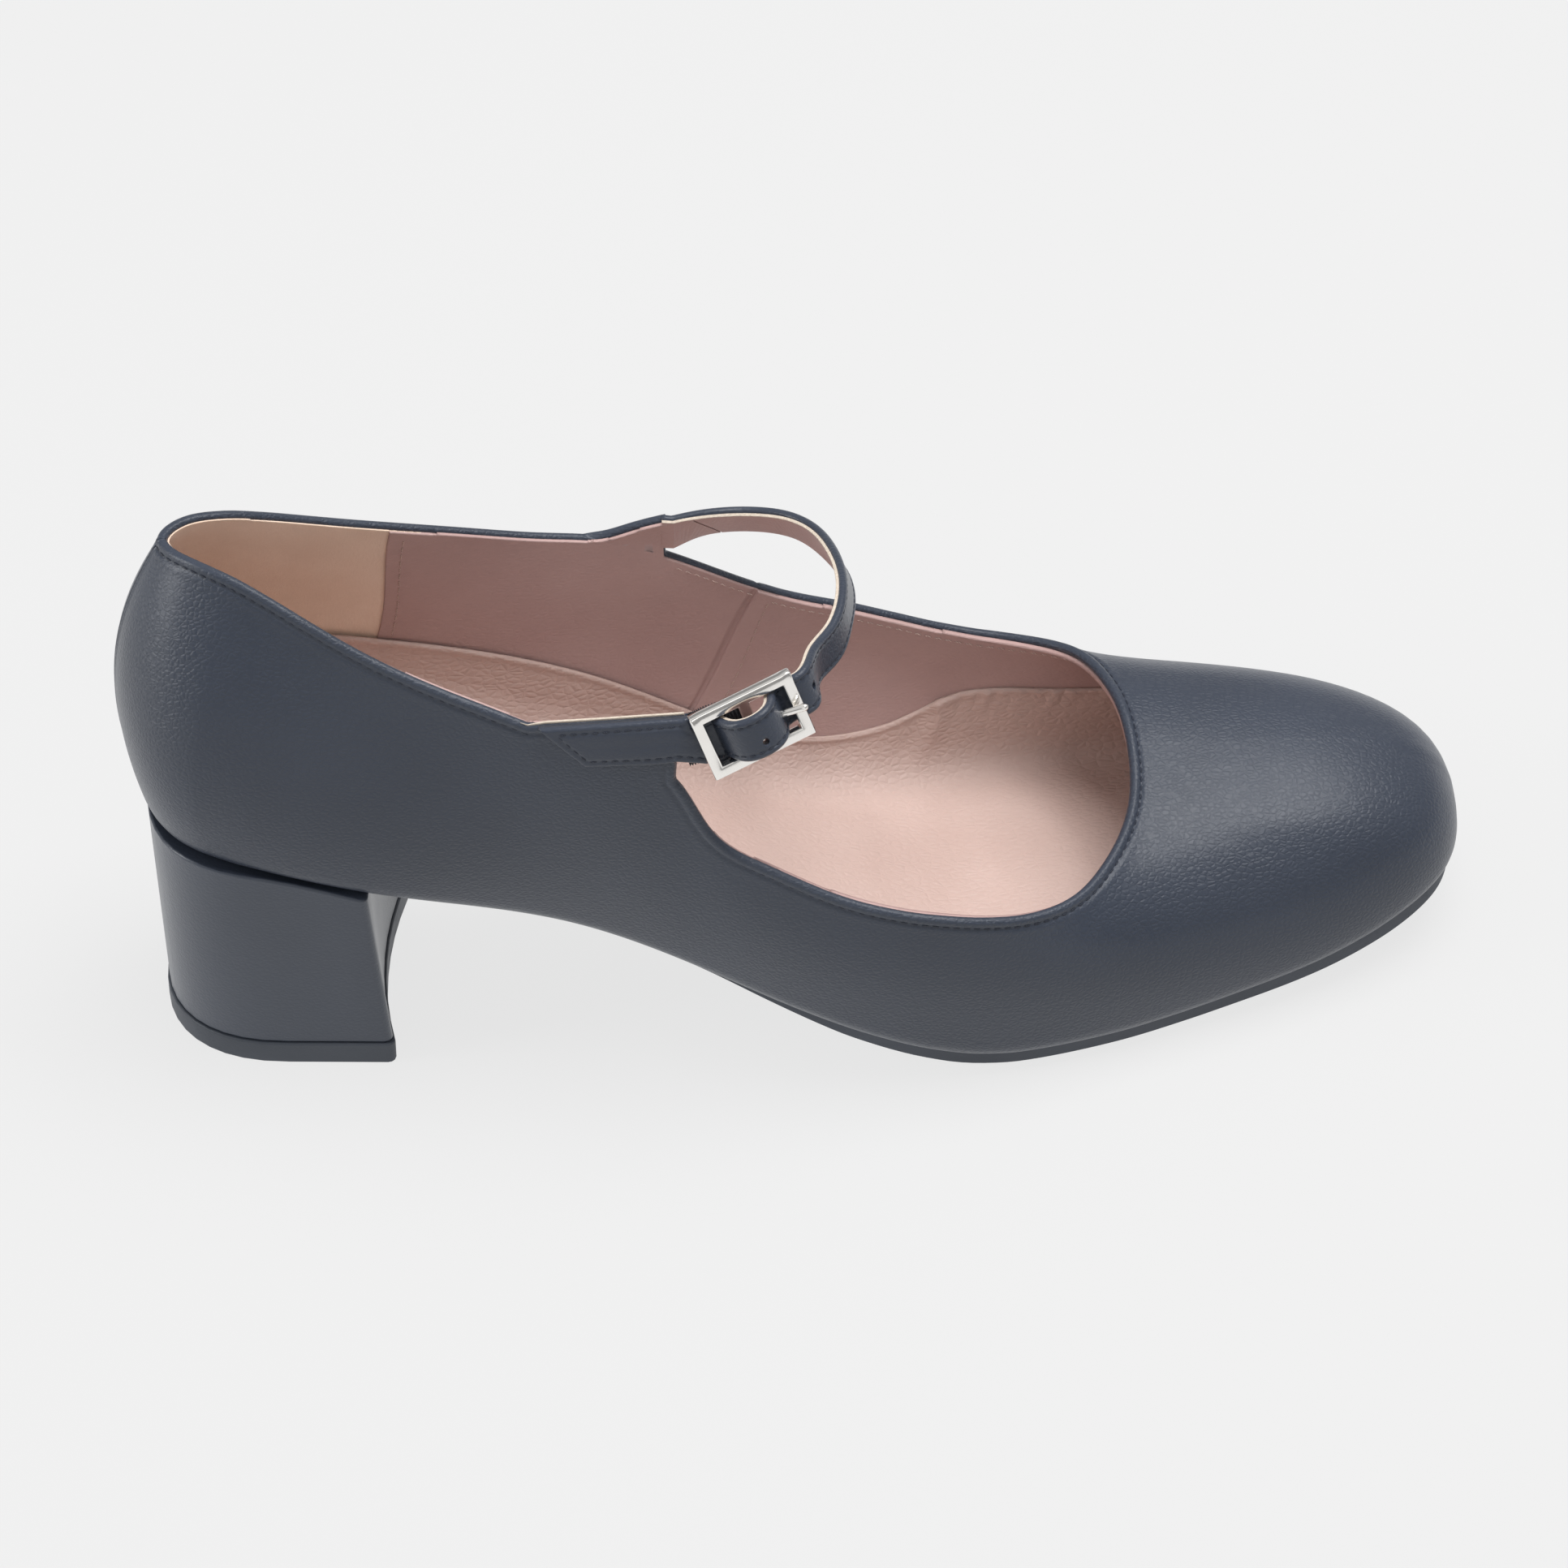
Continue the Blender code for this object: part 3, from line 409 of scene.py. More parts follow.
def flap(table, s, k):
    """Wall carried on above the topline to the table's edge, k = 0 to 1."""
    rows = np.array(table)
    low = topline(s)
    high = place(spline(rows[:, 0], rows[:, 1:], s))
    before = wall(s, [NEAR_TOP])[:, 0]
    height = np.linalg.norm(high - low, axis=-1, keepdims=True)
    middle = low + unit(low - before) * height / 2
    k = np.asarray(k, float)
    k = (k if k.ndim == 2 else k[None])[..., None]
    return (1 - k) ** 2 * low[:, None] + 2 * k * (1 - k) * middle[:, None] + k ** 2 * high[:, None]


def column_down(s, lengths):
    """Outer face of the ear and wall at the station s, at distances down from the ear's upper edge."""
    upper = flap(EAR, np.array([s]), np.linspace(1, 0, 9))[0]
    lower = wall(np.array([s]), np.linspace(1, 0, 40))[0]
    line = np.vstack([upper, lower[1:]])
    return between_rows(lengths, reach_of(line), line)


def buckle_axes():
    """Middle of the buckle, and its directions along the strap, up across it and outwards."""
    heading, pitch, lean = map(math.radians, (BUCKLE_HEADING, BUCKLE_PITCH, BUCKLE_LEAN))
    side = np.array([math.sin(heading), -math.cos(heading), 0])
    ahead = np.array([math.cos(heading), math.sin(heading), 0])
    along = ahead * math.cos(pitch) + np.array([0, 0, 1]) * math.sin(pitch)
    level = np.cross(side, along)
    up, out = level * math.cos(lean) - side * math.sin(lean), side * math.cos(lean) + level * math.sin(lean)
    ear = column_down(EAR[-1][0], [STRAP_WIDTH / 2])[0]
    reach = BAR_AHEAD + (BUCKLE_LENGTH - BUCKLE_BAR) / 2
    depth = GAP + TAB_THICKNESS + GAP + BUCKLE_THICKNESS / 2
    return ear + along * reach - up * BUCKLE_DROP + out * depth, along, up, out


def heel_ring(level, grow):
    """Outline of the heel in plan at a level from the floor, 0, to the seat, 1: back, outer side, breast."""
    width = np.interp(level, [0, 1], [HEEL_WIDTH, HEEL_SEAT_WIDTH]) / 2 + grow
    back = np.interp(level, [0, 1], [HEEL_BACK, HEEL_SEAT_BACK]) - grow
    front = np.interp(level, [0, 1], [HEEL_BACK + HEEL_LENGTH, HEEL_SEAT_FRONT]) + grow
    straight = back + HEEL_ROUND * (front - back)
    arc = [(straight - (straight - back) * math.cos(a) ** HEEL_SQUARE, -width * math.sin(a) ** HEEL_SQUARE)
           for a in np.linspace(0, math.pi / 2, 11)]
    sides = [(x, -width) for x in np.linspace(straight, front - BREAST_CORNER, 4)[1:3]]
    corner = [(front - BREAST_CORNER * (1 - math.sin(a)), -width + BREAST_CORNER * (1 - math.cos(a)))
              for a in np.linspace(0, math.pi / 2, 4)]
    half = width - BREAST_CORNER
    hollow = BREAST_HOLLOW * (1 - level ** 2)
    breast = [(front - hollow * (1 - (y / half) ** 2), y) for y in np.linspace(-half, 0, 5)[1:]]
    outer = arc + sides + corner + breast
    ring = np.array(outer + [(x, -y) for x, y in outer[-2:0:-1]])
    turn = math.radians(HEEL_TURN)
    middle = np.array([HEEL_PIVOT, 0])
    spin = np.array([[math.cos(turn), math.sin(turn)], [-math.sin(turn), math.cos(turn)]])
    return (ring - middle) @ spin + middle


def root_edge(gap=STRAP_GAP):
    """Start of the strap, just ahead of the top of its root's front edge, and the direction up that edge."""
    station = ROOT[0][0]
    low, high = flap(ROOT, np.array([station]), [0, 1])[0]
    behind = flap(ROOT, np.array([station + 0.2]), [0.5])[0, 0]
    up, ahead = unit(high - low), unit((low + high) / 2 - behind)
    inward = unit(np.cross(ahead, up))
    return high - up * STRAP_WIDTH / 2 + inward * UPPER_WALL / 2 + ahead * gap, up


def strap_route():
    """Rows of the strap: middle, and direction of its upper edge, from the root to its end in the buckle."""
    rows = np.array(STRAP)
    middles = place(rows)
    run = unit(np.gradient(middles, axis=0))
    side = unit(np.cross([0, 0, 1], run))
    lean = np.radians(rows[:, 3:4])
    upper = unit(np.cross(run, side)) * np.cos(lean) + side * np.sin(lean)
    first, first_up = root_edge()
    middles, upper = np.vstack([first, middles]), np.vstack([first_up, upper])
    centre, along, up, out = buckle_axes()
    under = BUCKLE_THICKNESS / 2 + BUCKLE_PLAY + STRAP_THICKNESS / 2
    bar = (BUCKLE_LENGTH - BUCKLE_BAR) / 2
    local = [(LEAD * bar, -under), (bar, -under)] + [(a * bar, o) for a, o in HUMP]
    ends = np.array([centre + along * a + out * o for a, o in local])
    middles = np.vstack([middles, ends])
    upper = np.vstack([upper, np.tile(up, (len(ends), 1))])
    return middles, upper


def strap_curve(steps):
    """Smooth strap: middles and directions of its upper edge."""
    middles, upper = strap_route()
    reach = reach_of(middles)
    query = np.interp(np.arange((len(reach) - 1) * steps + 1) / steps, np.arange(len(reach)), reach)
    points = spline(reach, middles, query)
    run = unit(np.gradient(points, query, axis=0))
    across = spline(reach, upper, query)
    square = np.clip(query / (STRAP_SQUARE * STRAP_WIDTH), 0, 1)[:, None]
    across = unit(across - square * run * np.sum(across * run, axis=1, keepdims=True))
    return points, across


def prong_ends():
    """Where the prong starts, beside the centre bar, and where its tip ends, on the front bar."""
    _, along, _, out = buckle_axes()
    first = BUCKLE_BAR / 2 + GAP + PRONG_DIAMETER / 2
    seat = BUCKLE_LENGTH / 2 - BUCKLE_BAR
    rest = BUCKLE_THICKNESS / 2 + GAP + PRONG_DIAMETER / 2
    climb = rest / (seat - first)
    tip = BUCKLE_LENGTH / 2
    return along * first, along * tip + out * climb * (tip - first)


# Sizes of the looks
LEATHER = 1.45 * MM           # thickness of the upper's leather
LINING = 0.6 * MM
LINING_DROP = 0.45 * MM       # lining's raw edge below the leather's
LAP = 0.35 * MM               # how far a lining that laps over another stands up
SEAM_BELOW = 1.95 * MM        # edge stitching from the edge
STITCH = 1.35 * MM
STITCH_GAP = 0.55 * MM
THREAD = 0.17 * MM            # radius
STRAP_TOP = 0.95 * MM         # strap's outer face from its middle
STRAP_LINING = 0.42 * MM
STRAP_IN_ROOT = 0.7 * MM      # how far the strap's leather runs on inside its root
LINING_JOINT = (7.5 * MM, 0.24 * MM, 1.1)    # cut across the strap's lining: from the root, width, lean
ELASTIC_SPREAD = 1.1 * MM     # each side beyond the solid's width, as it spreads over the bar
SEAM_GROOVE = 0.02            # stations, half-width of the groove beside the lining's seam
TAB_TONGUE = (0.55, 1.2 * MM) # tab's end under the buckle: share of the way to the bar, flare
STRAP_LINING_INSET = 0.3 * MM
STRAP_SEAM = 1.25 * MM        # stitching from the strap's edge
STRAP_RELIEF = 0.10 * MM
STRAP_COLUMNS = [0, 0.05, 0.15, 0.3, 0.5, 0.7, 0.9, 1.05, 1.15, 1.25, 1.35, 1.45, 1.6, 1.9, 2.4, 3.2, 4.1]
EDGE_ROWS = [0, 0.1, 0.25, 0.45, 0.7, 1.0, 1.3, 1.55, 1.75, 1.95, 2.15, 2.4, 2.7, 3.1, 3.6, 4.3, 5.2]
WALL_ROWS = 32                # rows of the wall below those of its edge
SKIN_STEP = 0.05              # stations between columns
FINE_STEP = 0.0125            # the same beside an edge that runs down the wall
SIDE_SEAM = 20.0              # station of the seam on the inner side, at the topline
GRIP_EDGE = (3.4, 22.6)       # stations of the heel grip's front edges
OUTER_LAP = 6.4               # station of the lining's seam on the outer side
# How far columns slant back, stations at the depth SLANT_DEPTH
SLANT_DEPTH = 37 * MM
SLANT = [
    # station slant
    (17.5, 0.0),
    (19.0, 0.40),
    (20.0, 0.667),
    (22.6, 0.30),
    (24.5, 0.0),
]
# A stitch in rings from end to end; shares of its length, and of the thread's radius
STITCH_RINGS = [
    # along  radius lift
    (-0.50, 0.25, -0.90),
    (-0.42, 0.85, -0.30),
    (-0.20, 1.00, 0.15),
    (0.20, 1.00, 0.15),
    (0.42, 0.85, -0.30),
    (0.50, 0.25, -0.90),
]
STITCH_SIDES = 6
LINING_SEAM = 2.3             # millimetres, lining's stitching from its edge
SEAM_CUT = 0.013              # stations, half-width of the groove in a seam of the outer leather
UNDERLAP = 0.2                # stations that a lining runs on under its neighbour
BEHIND = 0.02 * MM            # lining behind the leather
RAW_AREA = 0.9e-6             # square metres, largest face of a raw edge
RAW_REACH = 0.62 * MM         # raw edge's faces from the lining's edge
RAW_TILT = 0.25               # least share that they look up
STITCH_SUNK = 0.10 * MM       # straight stitches' middle below the leather's face
SAME_STATION = 1e-4           # stations closer than this are one
SPECK = 1e-9                  # metres, guards a division by no length

# Sock
SOCK_INSET = 2.7 * MM         # foot of the sock's wall inside the feather edge
# Height at which the sock's edge is sewn to the lining, above the sock's middle
SOCK_RISE = [
    # station height
    (0.00, 12.0 * MM),
    (6.00, 11.0 * MM),
    (12.0, 9.0 * MM),
    (15.5, 14.0 * MM),
    (17.3, 17.0 * MM),
    (17.8, 17.8 * MM),
    (18.1, 17.6 * MM),
    (18.45, 16.0 * MM),
    (18.8, 12.9 * MM),
    (19.35, 8.4 * MM),
    (19.83, 6.6 * MM),
    (20.3, 7.2 * MM),
    (20.87, 10.4 * MM),
    (21.36, 13.2 * MM),
    (21.9, 14.6 * MM),
    (22.4, 14.2 * MM),
    (23.0, 12.6 * MM),
]
SOCK_BEND = 6.5 * MM          # reach of the curve between the sock's flat and its wall
SOCK_ON_WALL = 0.45 * MM      # thickness where it lies on the lining
SOCK_COLUMNS = (15, 9, 45)    # up the wall, round the bend, across half of which each side

# Studio
IMAGE_SIZE = 1932             # pixels of the photo's side
CAMERA_AZIMUTH = -5.0         # degrees
CAMERA_RISE = 43.5
CAMERA_DISTANCE = 1.1
PIXELS_PER_METRE = 6950.0
CAMERA_AIM = (0.1175, 0.0, 0.04)
CAMERA_SHIFT = (-4, 3)        # pixels that the aim lies right and up
SENSOR = 36.0                 # millimetres
FLOOR = 4.0
FLOOR_TONE = (0.07, 0.07, 0.07)
FLOOR_GLOW = 0.755            # the floor is a light table
SKY_STRENGTH = 0.70
SKY = [(0.0, 0.35), (0.25, 0.40), (0.60, 0.85), (1.0, 1.0)]    # height of the direction, tone
LAMPS = [
    # name, where, looks at, width, height, power in watts, seen in reflections
    ("top_box", (0.10, 0.05, 1.10), (0.02, 0.0, 0.03), 0.62, 0.46, 8.5, False),
    ("toe_box", (0.40, 0.12, 1.00), (0.06, 0.0, 0.03), 0.60, 0.50, 5.0, True),
    ("front_strip", (0.15, -1.2, 0.55), (0.0, 0.0, 0.04), 1.0, 0.25, 1.0, True),
    ("left_strip", (-1.1, -0.15, 0.45), (-0.05, 0.0, 0.05), 0.3, 0.8, 5.5, True),
]


def share_at(s, depth):
    """Where on each rib a depth below the topline lies, and the rib's whole length."""
    steps = np.linspace(1, 0, 61)
    line = wall(s, steps)
    reach = np.cumsum(np.linalg.norm(np.diff(line, axis=1), axis=2), axis=1)
    reach = np.concatenate([np.zeros((len(s), 1)), reach], axis=1)
    i = np.clip((reach < depth[:, None]).sum(axis=1), 1, len(steps) - 1)
    rows = np.arange(len(s))
    part = (depth - reach[rows, i - 1]) / (reach[rows, i] - reach[rows, i - 1])
    return steps[i - 1] + (steps[i] - steps[i - 1]) * part, reach[:, -1]


def skin(s, depth):
    """Outer face of the upper at pairs of a station and a depth below the topline."""
    s, depth = np.broadcast_arrays(np.asarray(s, float), np.asarray(depth, float))
    flat = s.ravel()
    t, _ = share_at(flat, depth.ravel())
    return wall(flat, t[:, None])[:, 0].reshape(*s.shape, 3)


def skin_normal(s, depth):
    """Outward direction of the outer face."""
    run = skin(s + 0.01, depth) - skin(s - 0.01, depth)
    down = skin(s, depth + 0.2 * MM) - skin(s, np.maximum(depth - 0.2 * MM, 0))
    return unit(np.cross(down, run))


def slanted(s, depth):
    table = np.array(SLANT)
    return s + np.interp(s, table[:, 0], table[:, 1]) * depth / SLANT_DEPTH


def stations_of_skin():
    """Stations of the columns, closer together at the ear's and the root's front edges and at the seams."""
    coarse = np.arange(0, RIBS, SKIN_STEP)
    marks = [0, EAR[0][0], EAR[-1][0], ROOT[0][0], ROOT[-1][0], SIDE_SEAM, RIBS, *GRIP_EDGE, OUTER_LAP]
    fine = [mark + np.arange(-12, 13) * FINE_STEP for mark in marks]
    every = np.concatenate([coarse, *fine])
    every = np.unique(np.round(every[(every >= 0) & (every < RIBS - 1e-6)], 5))
    keep = [every[0]]
    for s in every[1:]:
        near = any(abs(s - mark) < SAME_STATION for mark in marks)
        if s - keep[-1] > 0.6 * FINE_STEP:
            keep.append(s)
        elif near:
            keep[-1] = s
    return np.array(keep)


class Skin:
    """Outer face of the upper as one mesh: points, faces, and each point's station, row and edge distance."""

    def __init__(self):
        self.stations = stations_of_skin()
        count = len(self.stations)
        _, length = share_at(self.stations, np.zeros(count))
        edge = np.array(EDGE_ROWS) * MM
        share = np.linspace(0, 1, WALL_ROWS + 1)[1:]
        depth = np.concatenate([np.tile(edge, (count, 1)),
                                edge[-1] + (length[:, None] - edge[-1]) * share], axis=1)
        s = slanted(self.stations[:, None], depth)
        wall_points = skin(s, np.minimum(depth, length[:, None]))
        low = s[:, -1]
        turn = turned_edge(low, np.linspace(1, 0, 8)[1:])
        under = margin(low, np.linspace(FEATHER_RADIUS, MARGIN, 4)[1:])
        grid = np.concatenate([wall_points, turn, under], axis=1)
        self.rows = grid.shape[1]
        self.wall_rows = wall_points.shape[1]
        index = np.arange(count * self.rows).reshape(count, self.rows)
        points = [grid.reshape(-1, 3)]
        station = [np.repeat(self.stations, self.rows)]
        row = [np.tile(np.arange(self.rows), count)]
        faces = []
        for i in range(count):
            here, after = index[i], index[(i + 1) % count]
            for j in range(self.rows - 1):
                faces.append((here[j], here[j + 1], after[j + 1], after[j]))
        start = grid.shape[0] * self.rows
        for table in (EAR, ROOT):
            inside = np.flatnonzero(within(self.stations, table[0][0], table[-1][0]))
            columns = self.stations[inside]
            height = np.linalg.norm(flap(table, columns, [1])[:, 0] - topline(columns), axis=1)
            rows = len(EDGE_ROWS) + 6
            below = np.concatenate([np.tile(np.array(EDGE_ROWS) * MM, (len(columns), 1)),
                                    np.tile(np.linspace(5.2, 26, 7)[1:] * MM, (len(columns), 1))], axis=1)
            k = 1 - np.clip(below / np.maximum(height, SPECK)[:, None], 0, 1)
            k = np.where(height[:, None] > 1e-6, k, 0)
            block = flap(table, columns, k)
            numbers = start + np.arange(len(columns) * rows).reshape(len(columns), rows)
            numbers = np.where(k <= 0, index[inside, 0][:, None], numbers)
            points.append(block.reshape(-1, 3))
            station.append(np.repeat(columns, rows))
            row.append(np.full(len(columns) * rows, -1))
            start += len(columns) * rows
            for i in range(len(columns) - 1):
                for j in range(rows - 1):
                    face = (numbers[i, j], numbers[i, j + 1], numbers[i + 1, j + 1], numbers[i + 1, j])
                    face = tuple(dict.fromkeys(face))
                    if len(face) > 2:
                        faces.append(face)
        self.points = np.concatenate(points)
        self.station = np.concatenate(station)
        self.row = np.concatenate(row)
        self.faces = faces
        self.normals = point_normals(self.points, faces)
        self.edge = distance_to(self.points, opening_edge())


def opening_edge():
    """Lines along the edge of the opening, without the part of the strap's root where the strap goes on."""
    def stretch(first, last):
        return topline(np.linspace(first, last, int((last - first) * 120) + 2))
    ear_s = np.linspace(EAR[0][0], EAR[-1][0], 160)
    root_s = np.linspace(ROOT[0][0], ROOT[-1][0], 120)
    low, high = flap(ROOT, root_s[:1], [0, 1])[0]
    free = 1 - STRAP_WIDTH / np.linalg.norm(high - low)
    pieces = [
        stretch(0, EAR[0][0]),
        flap(EAR, ear_s, [1])[:, 0],
        flap(EAR, ear_s[-1:], np.linspace(1, 0, 60))[0],
        stretch(EAR[-1][0], ROOT[0][0]),
        flap(ROOT, root_s[:1], np.linspace(0, free, 20))[0],
        flap(ROOT, root_s, [1])[:, 0],
        stretch(ROOT[-1][0], RIBS),
    ]
    return pieces


def point_normals(points, faces):
    """Outward direction at each point, the mean over its faces."""
    normals = np.zeros_like(points)
    quads = np.array([f for f in faces if len(f) == 4])
    tris = np.array([f for f in faces if len(f) == 3]).reshape(-1, 3)
    for group in (quads, tris):
        if not len(group):
            continue
        last = group[:, 3] if group.shape[1] == 4 else group[:, 2]
        cross = np.cross(points[group[:, 2]] - points[group[:, 0]], points[last] - points[group[:, 1]])
        for k in range(group.shape[1]):
            np.add.at(normals, group[:, k], cross)
    length = np.linalg.norm(normals, axis=1, keepdims=True)
    return normals / np.maximum(length, 1e-15)


def within(stations, first, last):
    """Which stations lie between two marks, the marks too."""
    return (stations >= first - SAME_STATION) & (stations <= last + SAME_STATION)


def distance_to(points, lines):
    """Distance from each point to the nearest of several polylines."""
    starts = np.concatenate([line[:-1] for line in lines])
    ends = np.concatenate([line[1:] for line in lines])
    tree = KDTree(len(starts))
    for i, middle in enumerate((starts + ends) / 2):
        tree.insert(middle, i)
    tree.balance()
    result = np.empty(len(points))
    for i, point in enumerate(points):
        near = [n for _, n, _ in tree.find_n(point, 3)]
        a, b = starts[near], ends[near]
        span = b - a
        along = np.sum((point - a) * span, axis=1) / np.maximum(np.sum(span ** 2, axis=1), SPECK ** 2)
        result[i] = np.linalg.norm(a + span * np.clip(along, 0, 1)[:, None] - point, axis=1).min()
    return result


def shell(points, faces, outer, inner, normals):
    """Closed shell between two distances inwards from a face mesh: points, faces and which are rim faces."""
    used = np.unique(np.concatenate([np.array(f) for f in faces]))
    renumber = np.full(len(points), -1)
    renumber[used] = np.arange(len(used))
    count = len(used)
    top = points[used] - normals[used] * outer[used][:, None]
    low = points[used] - normals[used] * inner[used][:, None]
    result = [tuple(renumber[list(f)]) for f in faces]
    edges = {}
    for face in result:
        for a, b in zip(face, face[1:] + face[:1]):
            if (b, a) in edges:
                del edges[(b, a)]
            else:
                edges[(a, b)] = True
    back = [tuple(count + v for v in reversed(face)) for face in result]
    rim = [(b, a, count + a, count + b) for a, b in edges]
    return np.concatenate([top, low]), result + back + rim, len(result) + len(back)


def rounded(edge, thickness):
    """How far a rounded edge draws the face back, from 0 inside to half the thickness at the edge."""
    radius = thickness / 2
    inside = np.clip(radius - edge, 0, radius)
    return radius - np.sqrt(radius ** 2 - inside ** 2)


def bell(x, middle, width):
    return np.exp(-((x - middle) / width) ** 2)


def closed_mesh(name, points, faces, weld=0.0):
    """Mesh in the part's frame whose faces all look outwards."""
    mesh = bpy.data.meshes.new(name)
    mesh.from_pydata((np.asarray(points) + OFFSET).tolist(), [], [tuple(int(v) for v in f) for f in faces])
    bm = bmesh.new()
    bm.from_mesh(mesh)
    if weld:
        bmesh.ops.remove_doubles(bm, verts=bm.verts, dist=weld)
    bmesh.ops.recalc_face_normals(bm, faces=bm.faces)
    bm.to_mesh(mesh)
    bm.free()
    return mesh


def new_piece(name, points, faces, looks, stands_for=(), weld=0.0, smooth=True):
    """Object that rides with the shoe."""
    mesh = closed_mesh(name, points, faces, weld)
    for material in looks:
        mesh.materials.append(material)
    if smooth:
        mesh.shade_smooth()
    made = bpy.data.objects.new(name, mesh)
    bpy.context.scene.collection.objects.link(made)
    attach(made, "root")
    if stands_for:
        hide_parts(*stands_for)
    return made


def subset(skin_mesh, wanted):
    """Faces of the skin whose points are all wanted."""
    return [f for f in skin_mesh.faces if all(wanted[v] for v in f)]


def make_leather(base, looks):
    """Outer leather: folded at the opening, stitched below the fold, seamed at the back and inner side."""
    # Heights in millimetres: the fold's bead, the stitches' groove and the swelling below it
    e = base.edge / MM
    fold = 0.28 * bell(e, 0.95, 0.75) - 0.20 * bell(e, 1.95, 0.30) + 0.07 * bell(e, 2.9, 0.55)
    # Each seam is a fine groove with a soft swelling beside it
    around = np.where(base.station > RIBS / 2, base.station - RIBS, base.station)
    back = -0.45 * bell(around, 0.0, SEAM_CUT) + 0.16 * bell(np.abs(around), 0.05, 0.03)
    side = -0.30 * bell(base.station, SIDE_SEAM, SEAM_CUT) + 0.10 * bell(base.station, SIDE_SEAM - 0.09, 0.06)
    relief = (fold + (back + side) * (base.row >= 0)) * MM
    outer = rounded(base.edge, LEATHER) - relief
    inner = LEATHER - rounded(base.edge, LEATHER)
    points, faces, _ = shell(base.points, base.faces, outer, inner, base.normals)
    new_piece("upper_leather", points, faces, looks, ["upper"], weld=0.02 * MM)


def make_lining(name, base, wanted, thickness, looks):
    """Piece of the lining on the wanted points; its rim along the opening has the raw edge's look."""
    faces = subset(base, wanted & (base.edge > LINING_DROP - 0.04 * MM))
    start = np.full(len(base.points), LEATHER + BEHIND)
    points, all_faces, first_rim = shell(base.points, faces, start, start + thickness, base.normals)
    piece = new_piece(name, points, all_faces, looks)
    rim = list(piece.data.polygons)[first_rim:]
    middles = np.array([face.center for face in rim]) - OFFSET
    for face, distance in zip(rim, distance_to(middles, opening_edge())):
        if face.area < RAW_AREA and distance < LINING_DROP + RAW_REACH and abs(face.normal.z) > RAW_TILT:
            face.material_index = 1


def make_linings(base, pink, buff, beige):
    """Linings of both quarters and the front, and the heel grip, lapped one over another."""
    around = np.where(base.station > RIBS / 2, base.station - RIBS, base.station)
    grooved = LINING * (1 - 0.8 * bell(base.station, SIDE_SEAM + SEAM_GROOVE, SEAM_GROOVE))
    on_wall = base.row < base.wall_rows
    for name, stations, first, last, thickness, look in [
            ("lining_inner_quarter", base.station, SIDE_SEAM - UNDERLAP, GRIP_EDGE[1], grooved, pink),
            ("lining_outer_quarter", base.station, GRIP_EDGE[0], OUTER_LAP + UNDERLAP, LINING, pink),
            ("lining_front", base.station, OUTER_LAP, SIDE_SEAM, LINING + LAP, pink),
            ("heel_grip", around, GRIP_EDGE[1] - RIBS - UNDERLAP, GRIP_EDGE[0] + UNDERLAP,
             LINING - LAP, buff)]:
        make_lining(name, base, on_wall & within(stations, first, last), thickness, [look, beige])


def capsules(points, normals, length, gap, radius):
    """Stitches along a curve: points and faces of one mesh of short rounded threads."""
    reach = reach_of(points)
    count = int(reach[-1] // (length + gap))
    verts, faces = [], []
    sides = STITCH_SIDES
    angles = np.arange(sides) * 2 * math.pi / sides
    for n in range(count):
        middle = (n + 0.5) * (length + gap)
        spots = middle + np.array([a for a, _, _ in STITCH_RINGS]) * length
        place_at = between_rows(spots, reach, points)
        up = unit(between_rows(middle, reach, normals))
        ahead = unit(place_at[-1] - place_at[0])
        side = unit(np.cross(up, ahead))
        start = len(verts)
        for spot, (_, size, lift) in zip(place_at, STITCH_RINGS):
            centre = spot + up * (lift * radius)
            for angle in angles:
                verts.append(centre + (side * math.cos(angle) + up * math.sin(angle)) * radius * size)
        faces += [tuple(start + v for v in face) for face in tube_faces(len(STITCH_RINGS), sides)]
    return verts, faces


def stitch_piece(name, runs, looks, length=STITCH, gap=STITCH_GAP, radius=THREAD):
    verts, faces = [], []
    for points, normals in runs:
        more, more_faces = capsules(points, normals, length, gap, radius)
        faces += [tuple(v + len(verts) for v in f) for f in more_faces]
        verts += more
    new_piece(name, np.array(verts), faces, looks)


def skin_run(pairs, lift, count=400):
    """Curve on the upper through pairs of station and depth, moved outwards by lift, with its normals."""
    table = np.array(pairs)
    query = np.linspace(0, len(table) - 1, count)
    path = spline(np.arange(len(table)), table, query)
    s, depth = path[:, 0], path[:, 1] * MM
    points, normals = skin(s, depth), skin_normal(s, depth)
    return points + normals * lift, normals


def make_upper_stitches(looks):
    lift = -0.12 * MM
    below = SEAM_BELOW / MM
    rear = np.linspace(ROOT[-1][0] + 0.25, RIBS + EAR[0][0] + 0.05, 60)
    throat = [(s, below) for s in np.linspace(5.98, ROOT[0][0] - 0.05, 60)]
    front = [(5.60, 0.2), (5.61, 1.2), (5.70, 2.2), (5.80, 2.1)]
    side_seam = [(slanted(SIDE_SEAM - 0.10, d * MM), d) for d in np.linspace(2.6, 30, 12)]
    runs = [skin_run([(s, below) for s in rear], lift, 1200), skin_run(front + throat, lift, 1600),
            skin_run(side_seam, 0.02 * MM, 200)]
    stitch_piece("upper_stitches", runs, looks)


def tube_faces(rows, count):
    """Faces of a closed tube of rings, with a cap at each end."""
    index = np.arange(rows * count).reshape(rows, count)
    after = np.roll(index, -1, axis=1)
    faces = [(index[i, j], after[i, j], after[i + 1, j], index[i + 1, j])
             for i in range(rows - 1) for j in range(count)]
    faces.append(tuple(reversed(range(count))))
    faces.append(tuple((rows - 1) * count + j for j in range(count)))
    return faces


